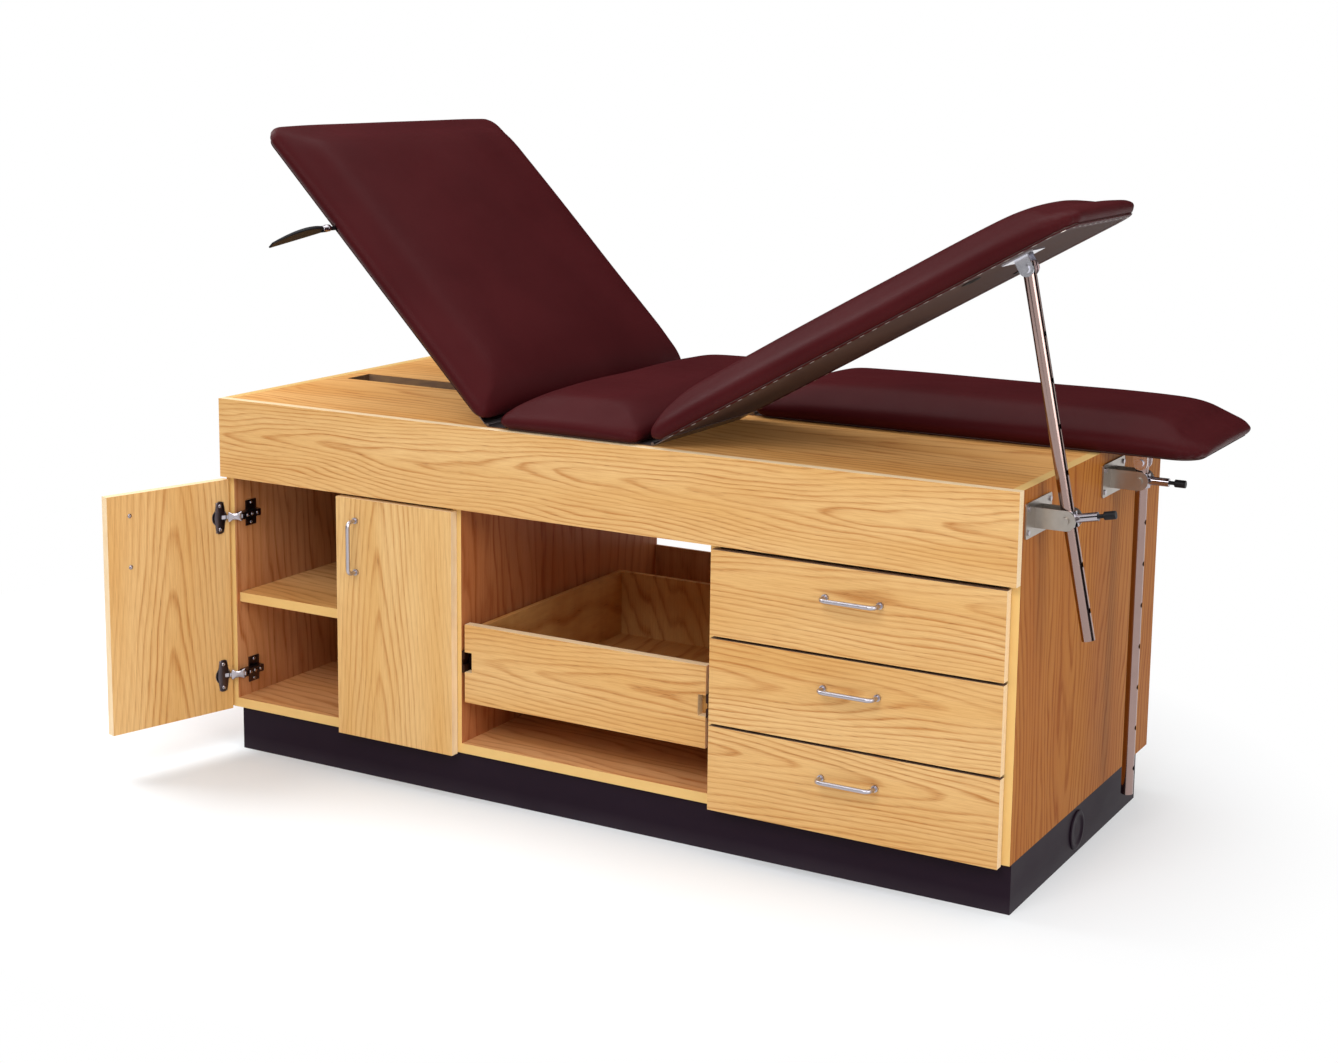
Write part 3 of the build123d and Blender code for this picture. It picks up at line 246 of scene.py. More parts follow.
def oak(name, centre, along, across, heart=0.0, sharpness=0.02, rings=3.0, run=9.0, wander=1.0, seed=0.0,
        tint=(1, 1, 1), band=True, lines=0.92, patches=0.35, edge=EDGE_BAND, gloss=0.12, inner_tint=None,
        unbanded=False, aside=1.0):
    """Oak laminate. Its figure is the growth rings of a plain sawn board: long nested arches about a heart
    line, and straight grain beside them.

    along and across are the board's own directions. heart is how far across the arches' middle lies,
    sharpness how wide their tips are, rings how many lie side by side, run how many there are in a metre,
    and wander how unsteady they are. lines, patches and aside are the rings' strength: everywhere, where it
    fades, and far from the heart. unbanded gives the top and bottom edges the dark core colour, as
    painted shade in the gaps between fronts. inner_tint is painted shade on the board's other face,
    the one that looks along +X."""
    s = Shader(name)
    along, across = Vector(along), Vector(across)
    face = along.cross(across)
    local = s.add("VectorMath", s.place, tuple(centre), operation="SUBTRACT").outputs[0]
    u, v, w = s.dot(local, along), s.dot(local, across), s.dot(local, face)

    def grain(by_u, by_v, third, detail, roughness=0.5):
        """Noise that is drawn out along the board."""
        place = s.add("CombineXYZ", s.math("MULTIPLY", u, by_u), s.math("MULTIPLY", v, by_v), third)
        return s.noise(place.outputs[0], 1.0, detail, roughness)

    drift = s.math("MULTIPLY_ADD", grain(1.6, 1.0, seed, 1.0), 0.07, -0.035)
    off = s.math("DIVIDE", s.math("ADD", s.math("SUBTRACT", v, heart), drift), sharpness)
    bow = s.math("SQRT", s.math("MULTIPLY_ADD", off, off, 1.0))
    ring = s.math("SUBTRACT", s.math("MULTIPLY", bow, rings), s.math("MULTIPLY", u, run))
    ring = s.math("MULTIPLY_ADD", w, 14.0, ring)
    ring = s.math("MULTIPLY_ADD", grain(3.4, 17.0, seed + 3.0, 2.0, 0.4), 3.2 * wander, ring)
    ring = s.math("MULTIPLY_ADD", grain(9.0, 80.0, seed + 7.0, 1.0), 0.32 * wander, ring)
    line = s.ramp(s.math("FRACT", ring), RING)
    fade = s.span(grain(2.5, 26.0, seed + 11.0, 2.0), 0.32, 0.66, patches, 1.0)
    line = s.math("MULTIPLY", line, fade)
    line = s.math("MULTIPLY", line, s.span(bow, 2.6, 4.6, 1.0, aside))
    fibre = grain(22.0, 620.0, s.math("MULTIPLY", w, 90.0), 2.0, 0.6)
    streak = grain(11.0, 330.0, seed + 23.0, 3.0, 0.65)
    line = s.math("MULTIPLY", line, s.span(streak, 0.34, 0.58, 0.66, 1.06))
    pore = s.span(grain(38.0, 760.0, s.math("MULTIPLY", w, 300.0), 1.0), 0.60, 0.72)
    pore = s.math("MULTIPLY", pore, s.span(line, 0.15, 0.9, 0.16, 1.0))
    tone = grain(1.3, 8.0, seed + 17.0, 2.0)
    colour = s.mix(s.span(tone, 0.35, 0.68), OAK_LIGHT, OAK_WARM)
    colour = s.mix(s.math("MULTIPLY", line, lines), colour, OAK_GRAIN)
    colour = s.mix(s.span(streak, 0.46, 0.74, 0.0, 0.30), colour, OAK_GRAIN)
    colour = s.mix(s.span(fibre, 0.35, 0.72, 0.0, 0.22), colour, OAK_GRAIN)
    colour = s.mix(s.math("MULTIPLY", pore, 0.7), colour, OAK_PORE)
    # The tint: on some boards the oak's own tone, on others painted light and painted shade.
    tint_and_painted_light = (*tint, 1.0)
    # Painted shade on the face that looks along +X, into the cupboard.
    if inner_tint:
        tint_and_painted_light = s.mix(s.span(s.dot(s.normal, X), 0.4, 0.6), tint_and_painted_light, (*inner_tint, 1.0))
    colour = s.mix(1.0, colour, tint_and_painted_light, "MULTIPLY")
    if band:
        edge_colour = s.mix(s.span(fibre, 0.3, 0.75, 0.0, 0.3), edge, OAK_WARM)
        # Painted shade: the top and bottom edges take the dark core colour, for the shade in the gaps between
        # fronts.
        if unbanded:
            level = s.math("ABSOLUTE", s.dot(s.normal, Z))
            edge_colour = s.mix(s.span(level, 0.80, 0.95), edge_colour, CORE_AND_GAP_SHADE)
        facing = s.math("ABSOLUTE", s.dot(s.normal, face))
        colour = s.mix(s.span(facing, 0.55, 0.75, 1.0, 0.0), colour, edge_colour)
    relief = s.math("ADD", s.math("MULTIPLY", pore, -1.0), s.math("MULTIPLY", fibre, 0.3))
    rough = s.math("MULTIPLY_ADD", line, 0.08, OAK_ROUGHNESS)
    s.set(Base_Color=colour, Roughness=rough, Normal=s.bump(relief, 0.00012, 0.5), Specular_IOR_Level=gloss)
    return s.material


def vinyl(name):
    """Soft upholstery vinyl: a fine pebbled grain with painted shade in its grooves, and slight cloudiness in
    its colour and gloss.
    """
    s = Shader(name)
    cloud = s.noise(s.place, 6.0, 3.0)
    pebble = s.add("TexVoronoi", s.place)
    pebble.feature = "DISTANCE_TO_EDGE"
    pebble.inputs["Scale"].default_value = 900.0
    fine = s.noise(s.place, 1500.0, 2.0)
    colour = s.mix(s.span(cloud, 0.3, 0.7), srgb(64, 18, 21), srgb(71, 22, 25))
    pit = s.span(pebble.outputs["Distance"], 0.0, 0.12)
    # Painted shade: the grooves between the pebbles are darker.
    colour = s.mix(s.math("MULTIPLY_ADD", pit, -0.22, 0.22), colour, srgb(40, 11, 14))
    height = s.math("MULTIPLY_ADD", fine, 0.35, pit)
    wear = s.noise(s.place, 22.0, 4.0, 0.6)
    s.set(
        Base_Color=colour,
        Roughness=s.span(wear, 0.25, 0.75, 0.37, 0.46),
        Normal=s.bump(height, 0.00010, 0.35),
        Specular_IOR_Level=0.08,
        IOR=1.35,
    )
    return s.material


def metal(name, colour, rough, streak=(30.0, 30.0, 600.0), depth=0.00003, dull=0.08):
    """Plated or satin steel, with a faint drawn grain and slightly uneven polish."""
    s = Shader(name)
    drawn = s.noise(s.times(s.place, streak), 1.0, 3.0, 0.6)
    cloud = s.noise(s.place, 40.0, 3.0)
    darker = tuple(c * 0.82 for c in colour[:3]) + (1.0,)
    s.set(
        Base_Color=s.mix(s.span(drawn, 0.3, 0.7, 0.0, 0.35), colour, darker),
        Metallic=1.0,
        Roughness=s.span(s.math("ADD", drawn, cloud), 0.6, 1.4, rough, rough + dull),
        Normal=s.bump(drawn, depth, 0.25),
    )
    return s.material


def plastic(name, colour, rough):
    """Moulded plastic with a fine texture and slightly worn gloss."""
    s = Shader(name)
    texture = s.noise(s.place, 900.0, 2.0)
    scuff = s.noise(s.place, 35.0, 4.0, 0.65)
    lighter = tuple(min(1.0, c * 1.7 + 0.006) for c in colour[:3]) + (1.0,)
    s.set(
        Base_Color=s.mix(s.span(scuff, 0.45, 0.8, 0.0, 0.6), colour, lighter),
        Roughness=s.span(scuff, 0.3, 0.7, rough - 0.06, rough + 0.08),
        Normal=s.bump(texture, 0.00006, 0.4),
        Specular_IOR_Level=0.2,
    )
    return s.material


def plinth_laminate():
    """Near black laminate, finely stippled, with dust near the floor."""
    s = Shader("plinth_laminate")
    stipple = s.noise(s.place, 520.0, 3.0, 0.6)
    dust = s.noise(s.times(s.place, (3.0, 3.0, 9.0)), 1.0, 4.0, 0.6)
    low = s.math("MULTIPLY", s.span(s.dot(s.place, Z), 0.0, 0.03, 1.0, 0.0), dust)
    colour = s.mix(s.span(dust, 0.3, 0.75, 0.0, 0.5), srgb(33, 22, 32), srgb(42, 30, 41))
    colour = s.mix(s.math("MULTIPLY", low, 0.35), colour, srgb(92, 84, 90))
    rough = s.span(dust, 0.3, 0.7, 0.34, 0.46)
    s.set(Base_Color=colour, Roughness=rough, Normal=s.bump(stipple, 0.00008, 0.35), Specular_IOR_Level=0.05)
    return s.material


def lining_cloth():
    """Woven dust cloth on the undersides of the pads."""
    s = Shader("lining_cloth")
    x, y, _ = s.axes()
    warp = s.math("SINE", s.math("MULTIPLY", y, 3600.0))
    weft = s.math("SINE", s.math("MULTIPLY", x, 3600.0))
    weave = s.math("MULTIPLY_ADD", s.math("MULTIPLY", warp, weft), 0.5, 0.5)
    blotch = s.noise(s.place, 9.0, 4.0, 0.6)
    colour = s.mix(s.span(blotch, 0.3, 0.7), srgb(66, 44, 40), srgb(84, 60, 52))
    colour = s.mix(s.math("MULTIPLY", weave, 0.25), colour, srgb(42, 27, 26))
    s.set(Base_Color=colour, Roughness=s.span(blotch, 0.2, 0.8, 0.72, 0.9), Normal=s.bump(weave, 0.0002, 0.4))
    return s.material


def raw_board(name, light, dark):
    """Unfinished particle board: fine chips and a little dust."""
    s = Shader(name)
    chips = s.noise(s.times(s.place, (260.0, 260.0, 420.0)), 1.0, 3.0, 0.7)
    blotch = s.noise(s.place, 7.0, 3.0)
    colour = s.mix(s.span(chips, 0.35, 0.7), light, dark)
    colour = s.mix(s.span(blotch, 0.3, 0.8, 0.0, 0.3), colour, dark)
    s.set(Base_Color=colour, Roughness=s.span(chips, 0.2, 0.8, 0.6, 0.8), Normal=s.bump(chips, 0.0002, 0.5))
    return s.material


def birch(name):
    """Pale drawer-side plywood, its thin plies showing on the top edges."""
    s = Shader(name)
    x, y, _ = s.axes()
    grain = s.noise(s.times(s.place, (30.0, 9.0, 260.0)), 1.0, 3.0, 0.6)
    ply = s.math("SINE", s.math("MULTIPLY", s.math("ADD", x, y), 2600.0))
    upward = s.span(s.math("ABSOLUTE", s.dot(s.normal, Z)), 0.7, 0.9)
    colour = s.mix(s.span(grain, 0.35, 0.7), srgb(214, 184, 138), srgb(190, 154, 104))
    colour = s.mix(s.math("MULTIPLY", upward, s.span(ply, 0.0, 0.6, 0.0, 0.45)), colour, srgb(140, 104, 66))
    s.set(Base_Color=colour, Roughness=s.span(grain, 0.3, 0.7, 0.46, 0.58), Normal=s.bump(grain, 0.0001, 0.3))
    return s.material


def paint(material, *nodes):
    for node in nodes:
        obj = NODES[node]
        if not obj.material_slots:
            obj.data.materials.append(material)
        for slot in obj.material_slots:
            slot.link = "OBJECT"
            slot.material = material


def veneer(name, node, along, across, *others, shift=(0, 0, 0), **figure):
    """Oak on a board and on others like it, its figure about the board's middle."""
    low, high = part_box(node)
    paint(oak(name, (low + high) / 2 + Vector(shift), along, across, **figure), node, *others)


VINYL = vinyl("burgundy_vinyl")
SATIN = metal("satin_steel", srgb(186, 182, 190), 0.30)
CHROME = metal("bright_plating", srgb(176, 170, 176), 0.10, (20.0, 20.0, 20.0), 0.00001, 0.06)
DARK_STEEL = metal("hinge_steel", srgb(96, 88, 94), 0.26, (60.0, 60.0, 60.0), 0.00001, 0.1)
ZINC = metal("zinc_plate", srgb(176, 168, 160), 0.28, (90.0, 400.0, 90.0), 0.00002, 0.12)
BRIGHT = metal("bright_clevis", srgb(232, 232, 240), 0.20)
# The tubes' plating is tinted warm brown: painted reflection of the oak and vinyl around them.
TUBE = metal("tube_plating", srgb(160, 136, 130), 0.12, (20.0, 20.0, 20.0), 0.00001, 0.06)
HINGE = metal("hinge_leaf_steel", srgb(128, 118, 120), 0.32)
# Runners and rails in dark brown metal, darker than the other steel.
RUNNER = metal("dark_brown_runner", srgb(64, 44, 38), 0.42)
BLACK = plastic("black_moulding", srgb(20, 19, 22), 0.38)
RUBBER = plastic("black_rubber", srgb(16, 15, 16), 0.62)


def paint_cabinet():
    veneer("fascia_oak", "front_fascia", X, Z, shift=(0.05, 0, 0), heart=0.012, sharpness=0.020, rings=2.5,
           run=6.0, wander=1.15, seed=2.0)
    # The top's tint is painted light and shade: warmer than the other oak, brighter in red and darker in
    # blue.
    veneer("top_oak", "top_panel", X, Y, heart=-0.11, sharpness=0.05, rings=2.4, run=3.0, wander=0.9,
           seed=9.0, tint=(1.10, 0.96, 0.80), edge=CORE_AND_GAP_SHADE)
    # The end panels' tint is painted shade with a more saturated orange; the head end's inner face has
    # painted shade of its own.
    veneer("foot_end_oak", "foot_end_panel", Z, Y, heart=-0.12, sharpness=0.05, rings=3.2, run=4.2,
           wander=1.1, seed=14.0, tint=END_SHADE_AND_ORANGE, gloss=0.05, lines=1.0, patches=0.6, edge=CARCASS_BAND)
    veneer("head_end_oak", "head_end_panel", Z, Y, heart=0.08, sharpness=0.05, rings=2.2, run=3.0, wander=0.9,
           seed=19.0, tint=END_SHADE_AND_ORANGE, gloss=0.05, inner_tint=(0.90, 0.70, 0.78), edge=CARCASS_BAND)
    # The partitions' tint is painted shade for the inside of the cupboard.
    veneer("partition_oak", "left_partition", Z, Y, "right_partition", heart=0.1, sharpness=0.06, rings=2.0,
           run=2.5, seed=23.0, tint=INNER_PAINTED_SHADE, edge=CARCASS_BAND)
    veneer("floor_oak", "bottom_panel", X, Y, heart=0.1, sharpness=0.05, rings=2.0, run=3.0, seed=27.0,
           tint=(1.02, 0.88, 0.94), edge=CARCASS_BAND)
    # The shelf's tint is painted light: it brightens the oak above its own colour.
    veneer("shelf_oak", "cupboard_shelf", X, Y, heart=0.04, sharpness=0.05, rings=2.0, run=3.0, seed=29.0,
           tint=(1.22, 1.14, 1.12), edge=CARCASS_BAND)
    # The back panels' tint is painted shade for the back of the cupboard.
    veneer("back_oak", "back_panels", Z, X, heart=0.3, sharpness=0.09, rings=2.2, run=2.4, seed=31.0,
           tint=(0.80, 0.68, 0.84), band=False, lines=0.6)
    paint(plinth_laminate(), "base_frame")
    paint(raw_board("raw_well", srgb(150, 128, 112), srgb(112, 90, 78)), "strut_well")


def paint_fronts():
    for node, heart, run, way, seed in (
        ("top_drawer_front", 0.034, 4.0, 1, 6.0),
        ("middle_drawer_front", -0.016, 6.0, -1, 15.0),
        ("bottom_drawer_front", -0.030, 6.0, -1, 24.0),
        ("tray_front", 0.006, 5.4, 1, 35.0),
    ):
        veneer(node + "_oak", node, (way, 0, 0), (0, 0, way), heart=heart, rings=2.1, run=run, wander=0.80,
               seed=seed, unbanded=node != "tray_front")
    down = (0, 0, -1)
    veneer("right_door_oak", "right_door", down, X, heart=-0.034, sharpness=0.022, rings=1.9, run=7.4,
           wander=0.50, seed=41.0, tint=(1.02, 1.06, 1.10), lines=0.80, aside=0.45)
    angle = math.radians(LEFT_DOOR_OPEN)
    outward = (math.cos(angle), -math.sin(angle), 0)
    veneer("left_door_oak", "left_door", down, outward, heart=-0.006, sharpness=0.024, rings=1.9, run=7.2,
           wander=0.50, seed=47.0, tint=(1.08, 1.08, 1.08), lines=0.85, aside=0.45)
    paint(birch("drawer_birch"), *(drawer + "_box" for drawer in DRAWERS))
    veneer("tray_box_oak", "tray_box", Y, X, sharpness=0.08, rings=2.0, run=2.0, seed=52.0,
           tint=(0.86, 0.76, 0.64), band=False)


def paint_metal():
    paint(RUNNER, "tray_runners", "slide_rails")
    paint(SATIN, "shelf_pins", "rod_bracket", "strut_anchor", "lever_clips", "left_door_fittings",
          "right_door_fittings", *(drawer + "_hardware" for drawer in DRAWERS))
    paint(HINGE, "fixed_hinge_leaves", "backrest_hinge_leaf", "front_leg_hinge_leaf", "rear_leg_hinge_leaf")
    paint(ZINC, "leg_brackets")
    paint(BRIGHT, "front_leg_clevis", "rear_leg_clevis")
    paint(TUBE, "front_leg_tube", "rear_leg_tube")
    paint(CHROME, "bracket_screws", "front_lock_sleeve", "rear_lock_sleeve", "strut_rod", "left_hinge_links",
          "right_hinge_links")
    paint(DARK_STEEL, "hinge_arms")
    paint(BLACK, "strut_cylinder", "release_lever", "front_lock_plunger", "rear_lock_plunger")
    paint(lining_cloth(), "backrest_board", "seat_board", "front_leg_board", "rear_leg_board")


def ease_edges():
    """Softens the sharp edges of the CAD's boards, each by its own amount."""
    sizes = {
        0.0012: ("front_fascia", "left_door", "right_door", "tray_front",
                 *(drawer + "_front" for drawer in DRAWERS)),
        0.0008: ("top_panel", "foot_end_panel", "head_end_panel", "cupboard_shelf", "base_frame", "tray_box",
                 *(drawer + "_box" for drawer in DRAWERS)),
    }
    for width, nodes in sizes.items():
        for node in nodes:
            bevel = NODES[node].modifiers.new("eased_edges", "BEVEL")
            bevel.width = width
            bevel.segments = 2
            bevel.limit_method = "ANGLE"
            bevel.angle_limit = math.radians(50)


# ------------------------------------------------------------------ cushions
VOXEL = 0.007
SHRINK = 0.003
CLOTH_FRAMES = 20
# How far inside the outline the sides meet at a corner without a hard line.
MITRE = 0.022
# Heights above the underside, where the cover starts to roll over and where its side ends.
ROLL_START = 0.016
SIDE_TOP = 0.052
# How far the cover moves: up in the middle, out, in at the board, in at the top, down, and in at the roll.
CROWN = 0.009
SIDE_BULGE = 0.006
SIDE_TUCK = 0.010
SIDE_LEAN = 0.006
SIDE_DROP = 0.009
SIDE_ROUND = 0.014
NOSE_ROUND = 0.028
CREASE = 0.0012
HINGE_CORNER = 0.030


class Pad:
    """A cushion being made from its CAD solid and its board, worked on in its flat position."""

    def __init__(self, body, hinge_ends, free_corner, droops, inner_side=0):
        name = "seat" if body == "cabinet" else body
        self.node = name + "_cushion"
        self.body = body
        self.inner_side = inner_side
        self.hinge_droop, self.free_droop = droops
        self.nosed = body.endswith("leg")
        self.lean = LEAN[body]
        self.hinged = {end: end in hinge_ends for end in ("low", "high")}
        self.corners = [HINGE_CORNER if hinged else free_corner for hinged in self.hinged.values()]
        bm = bmesh.new()
        for node in (self.node, name + "_board"):
            start = len(bm.verts)
            bm.from_mesh(NODES[node].data)
            bmesh.ops.remove_doubles(bm, verts=list(bm.verts)[start:], dist=1e-5)
        self.obj = from_bmesh(name + "_upholstery", bm)
        self.obj.data.transform(self.lean.inverted())
        flat = np.array(self.lean.inverted())
        co = coordinates(NODES[self.node].data) @ flat[:3, :3].T + flat[:3, 3]
        self.low, self.high = co.min(0), co.max(0)
        self.centre = (self.low + self.high)[:2] / 2
        self.half = (self.high - self.low)[:2] / 2

    def ends(self):
        """Each end: its x, the way out of it, its corners' radius, and whether it is hinged."""
        yield self.low[0], -1, self.corners[0], self.hinged["low"]
        yield self.high[0], 1, self.corners[1], self.hinged["high"]

    def outline(self, co):
        """How far inside the pad's plan outline each point is, and the way out of it."""
        p = co[:, :2] - self.centre
        corner = np.where(p[:, 0] < 0, *self.corners)
        q = np.abs(p) - (self.half - corner[:, None])
        outside = np.maximum(q, 0)
        reach = np.linalg.norm(outside, axis=1)
        apart = q[:, 0] - q[:, 1]
        inner = (q[:, 0] + q[:, 1] + np.sqrt(apart ** 2 + MITRE ** 2)) / 2
        distance = reach + np.minimum(inner, 0) - corner
        share = 1 / (1 + np.exp(-np.clip(apart / (MITRE / 2), -30, 30)))
        flat_way = np.stack([share, 1 - share], 1)
        flat_way /= np.linalg.norm(flat_way, axis=1)[:, None]
        round_way = outside / np.maximum(reach, 1e-9)[:, None]
        rounded = smoothstep(0.0, 0.010, reach)[:, None]
        way = round_way * rounded + flat_way * (1 - rounded)
        return -distance, way * np.sign(p)

    def from_hinge(self, co):
        """How far each point is from the nearest hinged end."""
        distance = np.full(len(co), 1.0)
        for x_end, x_way, _, hinged in self.ends():
            if hinged:
                distance = np.minimum(distance, (x_end - co[:, 0]) * x_way)
        return distance

    def crown(self, co):
        """1 in the middle of the pad, and 0 at its outline."""
        p = np.clip(np.abs(co[:, :2] - self.centre) / self.half, 0, 1)
        return (1 - p[:, 0] ** 3) * (1 - p[:, 1] ** 3)


def apply_modifiers(obj):
    graph = bpy.context.evaluated_depsgraph_get()
    graph.update()
    mesh = bpy.data.meshes.new_from_object(obj.evaluated_get(graph))
    obj.modifiers.clear()
    old = obj.data
    obj.data = mesh
    bpy.data.meshes.remove(old)


def low_pass(mesh, values, rounds):
    """Evens out values over a mesh, each point towards the mean of its neighbours."""
    edges = np.zeros(len(mesh.edges) * 2, np.int64)
    mesh.edges.foreach_get("vertices", edges)
    a, b = edges.reshape(-1, 2).T
    count = len(mesh.vertices)
    valence = np.bincount(a, minlength=count) + np.bincount(b, minlength=count)
    for _ in range(rounds):
        total = np.zeros_like(values)
        for axis in range(values.shape[1]):
            column = values[:, axis]
            total[:, axis] = np.bincount(a, column[b], count) + np.bincount(b, column[a], count)
        values = 0.4 * values + 0.6 * total / valence[:, None]
    return values


def remesh(pad):
    modifier = pad.obj.modifiers.new("remesh", "REMESH")
    modifier.mode = "VOXEL"
    modifier.voxel_size = VOXEL
    apply_modifiers(pad.obj)
    mesh = pad.obj.data
    co = low_pass(mesh, coordinates(mesh), 4)
    co[:, 2] = np.maximum(co[:, 2], PAD_UNDERSIDE)
    set_coordinates(mesh, co)
    pad.rest = coordinates(mesh)
    pad.normals = np.array([v.normal for v in mesh.vertices])


def add_cloth(pad):
    set_coordinates(pad.obj.data, pad.rest - pad.normals * SHRINK)
    pinned = pad.obj.vertex_groups.new(name="board")
    under = np.nonzero(pad.rest[:, 2] < PAD_UNDERSIDE + 0.004)[0]
    pinned.add([int(i) for i in under], 1.0, "REPLACE")
    cloth = pad.obj.modifiers.new("stuffing", "CLOTH")
    settings = cloth.settings
    settings.quality = 4
    settings.mass = 0.3
    settings.use_pressure = True
    settings.uniform_pressure_force = 4.0
    settings.effector_weights.gravity = 0.0
    settings.tension_stiffness = 12
    settings.compression_stiffness = 12
    settings.shear_stiffness = 4
    settings.bending_stiffness = 2.0
    settings.vertex_group_mass = "board"
    cloth.collision_settings.use_collision = False
    cloth.collision_settings.use_self_collision = False
    cloth.point_cache.frame_start = 1
    cloth.point_cache.frame_end = CLOTH_FRAMES


def stuff(pads):
    """Blows the covers up together."""
    for pad in pads:
        pad.stuffed = pad.rest + pad.normals * 0.006
    for pad in pads:
        add_cloth(pad)
    SCENE.frame_start, SCENE.frame_end = 1, CLOTH_FRAMES
    for number in range(1, CLOTH_FRAMES + 1):
        SCENE.frame_set(number)
    graph = bpy.context.evaluated_depsgraph_get()
    for pad in pads:
        pad.stuffed = coordinates(pad.obj.evaluated_get(graph).data)
    for pad in pads:
        pad.obj.modifiers.clear()
    SCENE.frame_set(1)


def settle(pad):
    """Takes the stuffed shape: taut, and held back where another pad or the board is close."""
    rest, mesh = pad.rest, pad.obj.data
    inset, way = pad.outline(rest)
    height = rest[:, 2] - PAD_UNDERSIDE
    free = smoothstep(0.0, 0.07, pad.from_hinge(rest))
    moved = pad.stuffed - rest
    length = np.linalg.norm(moved, axis=1)
    cap = (0.003 + CROWN * pad.crown(rest)) * (0.2 + 0.8 * free)
    moved *= (np.minimum(length, cap) / np.maximum(length, 1e-9))[:, None]
    moved = low_pass(mesh, moved, 14)
    moved[:, 2] *= smoothstep(0.002, 0.020, height)

    near_side = fade_out(0.012, 0.060, inset)
    swell = np.sin(np.pi * np.clip(height / SIDE_TOP, 0, 1)) * (0.4 + 0.6 * free)
    tuck = SIDE_TUCK * fade_out(0.0, 0.018, height) * fade_out(0.004, 0.030, inset)
    lean_in = SIDE_LEAN * smoothstep(0.022, SIDE_TOP, height) * near_side
    moved[:, :2] += way * (SIDE_BULGE * swell * near_side - tuck - lean_in)[:, None]
    drop = SIDE_DROP * fade_out(0.0, 0.062, inset) * smoothstep(ROLL_START, 0.050, height)
    moved[:, 2] -= drop * (0.75 + 0.25 * free) * (1 - 0.45 * pad.nosed)

    # The cover rolls over the foam's edge, and over a leg rest's end most of all.
    from_end = pad.high[0] - rest[:, 0]
    at_end = fade_out(0.10, 0.18, from_end) * pad.nosed
    side_top = SIDE_TOP - 0.010 * np.clip(1 - from_end / 0.12, 0, 1) * pad.nosed
    rise = np.clip((height - ROLL_START) / (side_top - ROLL_START), 0, 1)
    roll = SIDE_ROUND * (0.3 + 0.7 * free) + (NOSE_ROUND - SIDE_ROUND) * at_end * np.abs(way[:, 0])
    roll = roll * (1 - np.sqrt(1 - rise ** 2)) * fade_out(0, 1, inset / (0.070 + 0.020 * at_end))
    moved[:, :2] -= way * roll[:, None]
    moved = low_pass(mesh, moved, 5)
    if pad.inner_side:
        toward = moved[:, 1] * pad.inner_side
        over = np.maximum(toward - 0.0015, 0) * smoothstep(0.06, 0.02, np.abs(rest[:, 1]))
        moved[:, 1] -= over * pad.inner_side
    co = droop(pad, rest + moved)
    co += (low_pass(mesh, co, 10) - co) * smoothstep(0.010, 0.030, height)[:, None]
    set_coordinates(mesh, pull_corners(pad, co))


def droop(pad, co):
    """Each corner of the cover is pulled down to the board, so that the pad is lowest there."""
    for x_end, _, _, hinged in pad.ends():
        for y_end in (pad.low[1], pad.high[1]):
            dx, dy = (co[:, 0] - x_end) / (0.060 if hinged else 0.080), (co[:, 1] - y_end) / 0.080
            near = np.exp(-(dx * dx + dy * dy))
            share = pad.hinge_droop if hinged else pad.free_droop
            co[:, 2] -= (co[:, 2] - PAD_UNDERSIDE) * share * near
    return co


def pull_corners(pad, co):
    """The pull of the cover at the pad's corners, and the slight unevenness of foam under vinyl."""
    x, y, z = co.T.copy()
    height = smoothstep(PAD_UNDERSIDE + 0.01, PAD_UNDERSIDE + 0.05, z)
    low_part = fade_out(0.004, 0.034, z - PAD_UNDERSIDE)
    for x_end, x_way, corner, hinged in pad.ends():
        for y_end, y_way in ((pad.low[1], -1), (pad.high[1], 1)):
            dx = (x - (x_end - x_way * corner)) * x_way
            dy = (y - (y_end - y_way * corner)) * y_way
            angle = np.arctan2(dy, dx)
            inside = smoothstep(corner * 0.35, corner * 0.95, np.hypot(dx, dy)) * (dx > -0.02) * (dy > -0.02)
            for tuck, depth in ((0.40, 0.0022), (0.79, 0.0034), (1.17, 0.0022)):
                fold = np.exp(-(((angle - tuck) / 0.09) ** 2)) * inside * low_part * depth
                co[:, 0] -= fold * np.cos(angle) * x_way
                co[:, 1] -= fold * np.sin(angle) * y_way
            if hinged:
                fuller = 0.0045 * np.exp(-(((angle - math.pi / 4) / 0.45) ** 2)) * inside
                co[:, 0] += fuller * np.cos(angle) * x_way
                co[:, 1] += fuller * np.sin(angle) * y_way
            else:
                along = (dx + dy) / math.sqrt(2)
                beside = (dx - dy) / math.sqrt(2)
                crease = np.exp(-((beside / 0.016) ** 2)) * np.exp(-(((along + 0.008) / 0.034) ** 2))
                co[:, 2] -= CREASE * crease * height
    ripple = 0.0005 * np.sin(x * 17 + 1.7 * np.sin(y * 9)) + 0.0004 * np.sin(y * 23 + 1.3 * np.sin(x * 11))
    co[:, 2] += ripple * height
    return co


def finish_pad(pad):
    pad.obj.modifiers.clear()
    for group in list(pad.obj.vertex_groups):
        pad.obj.vertex_groups.remove(group)
    subdivide = pad.obj.modifiers.new("smooth", "SUBSURF")
    subdivide.levels = 1
    apply_modifiers(pad.obj)
    mesh = pad.obj.data
    mesh.transform(pad.lean)
    shade_smooth(mesh)
    mesh.materials.clear()
    mesh.materials.append(VINYL)
    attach(pad.obj, pad.body)
    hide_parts(pad.node)


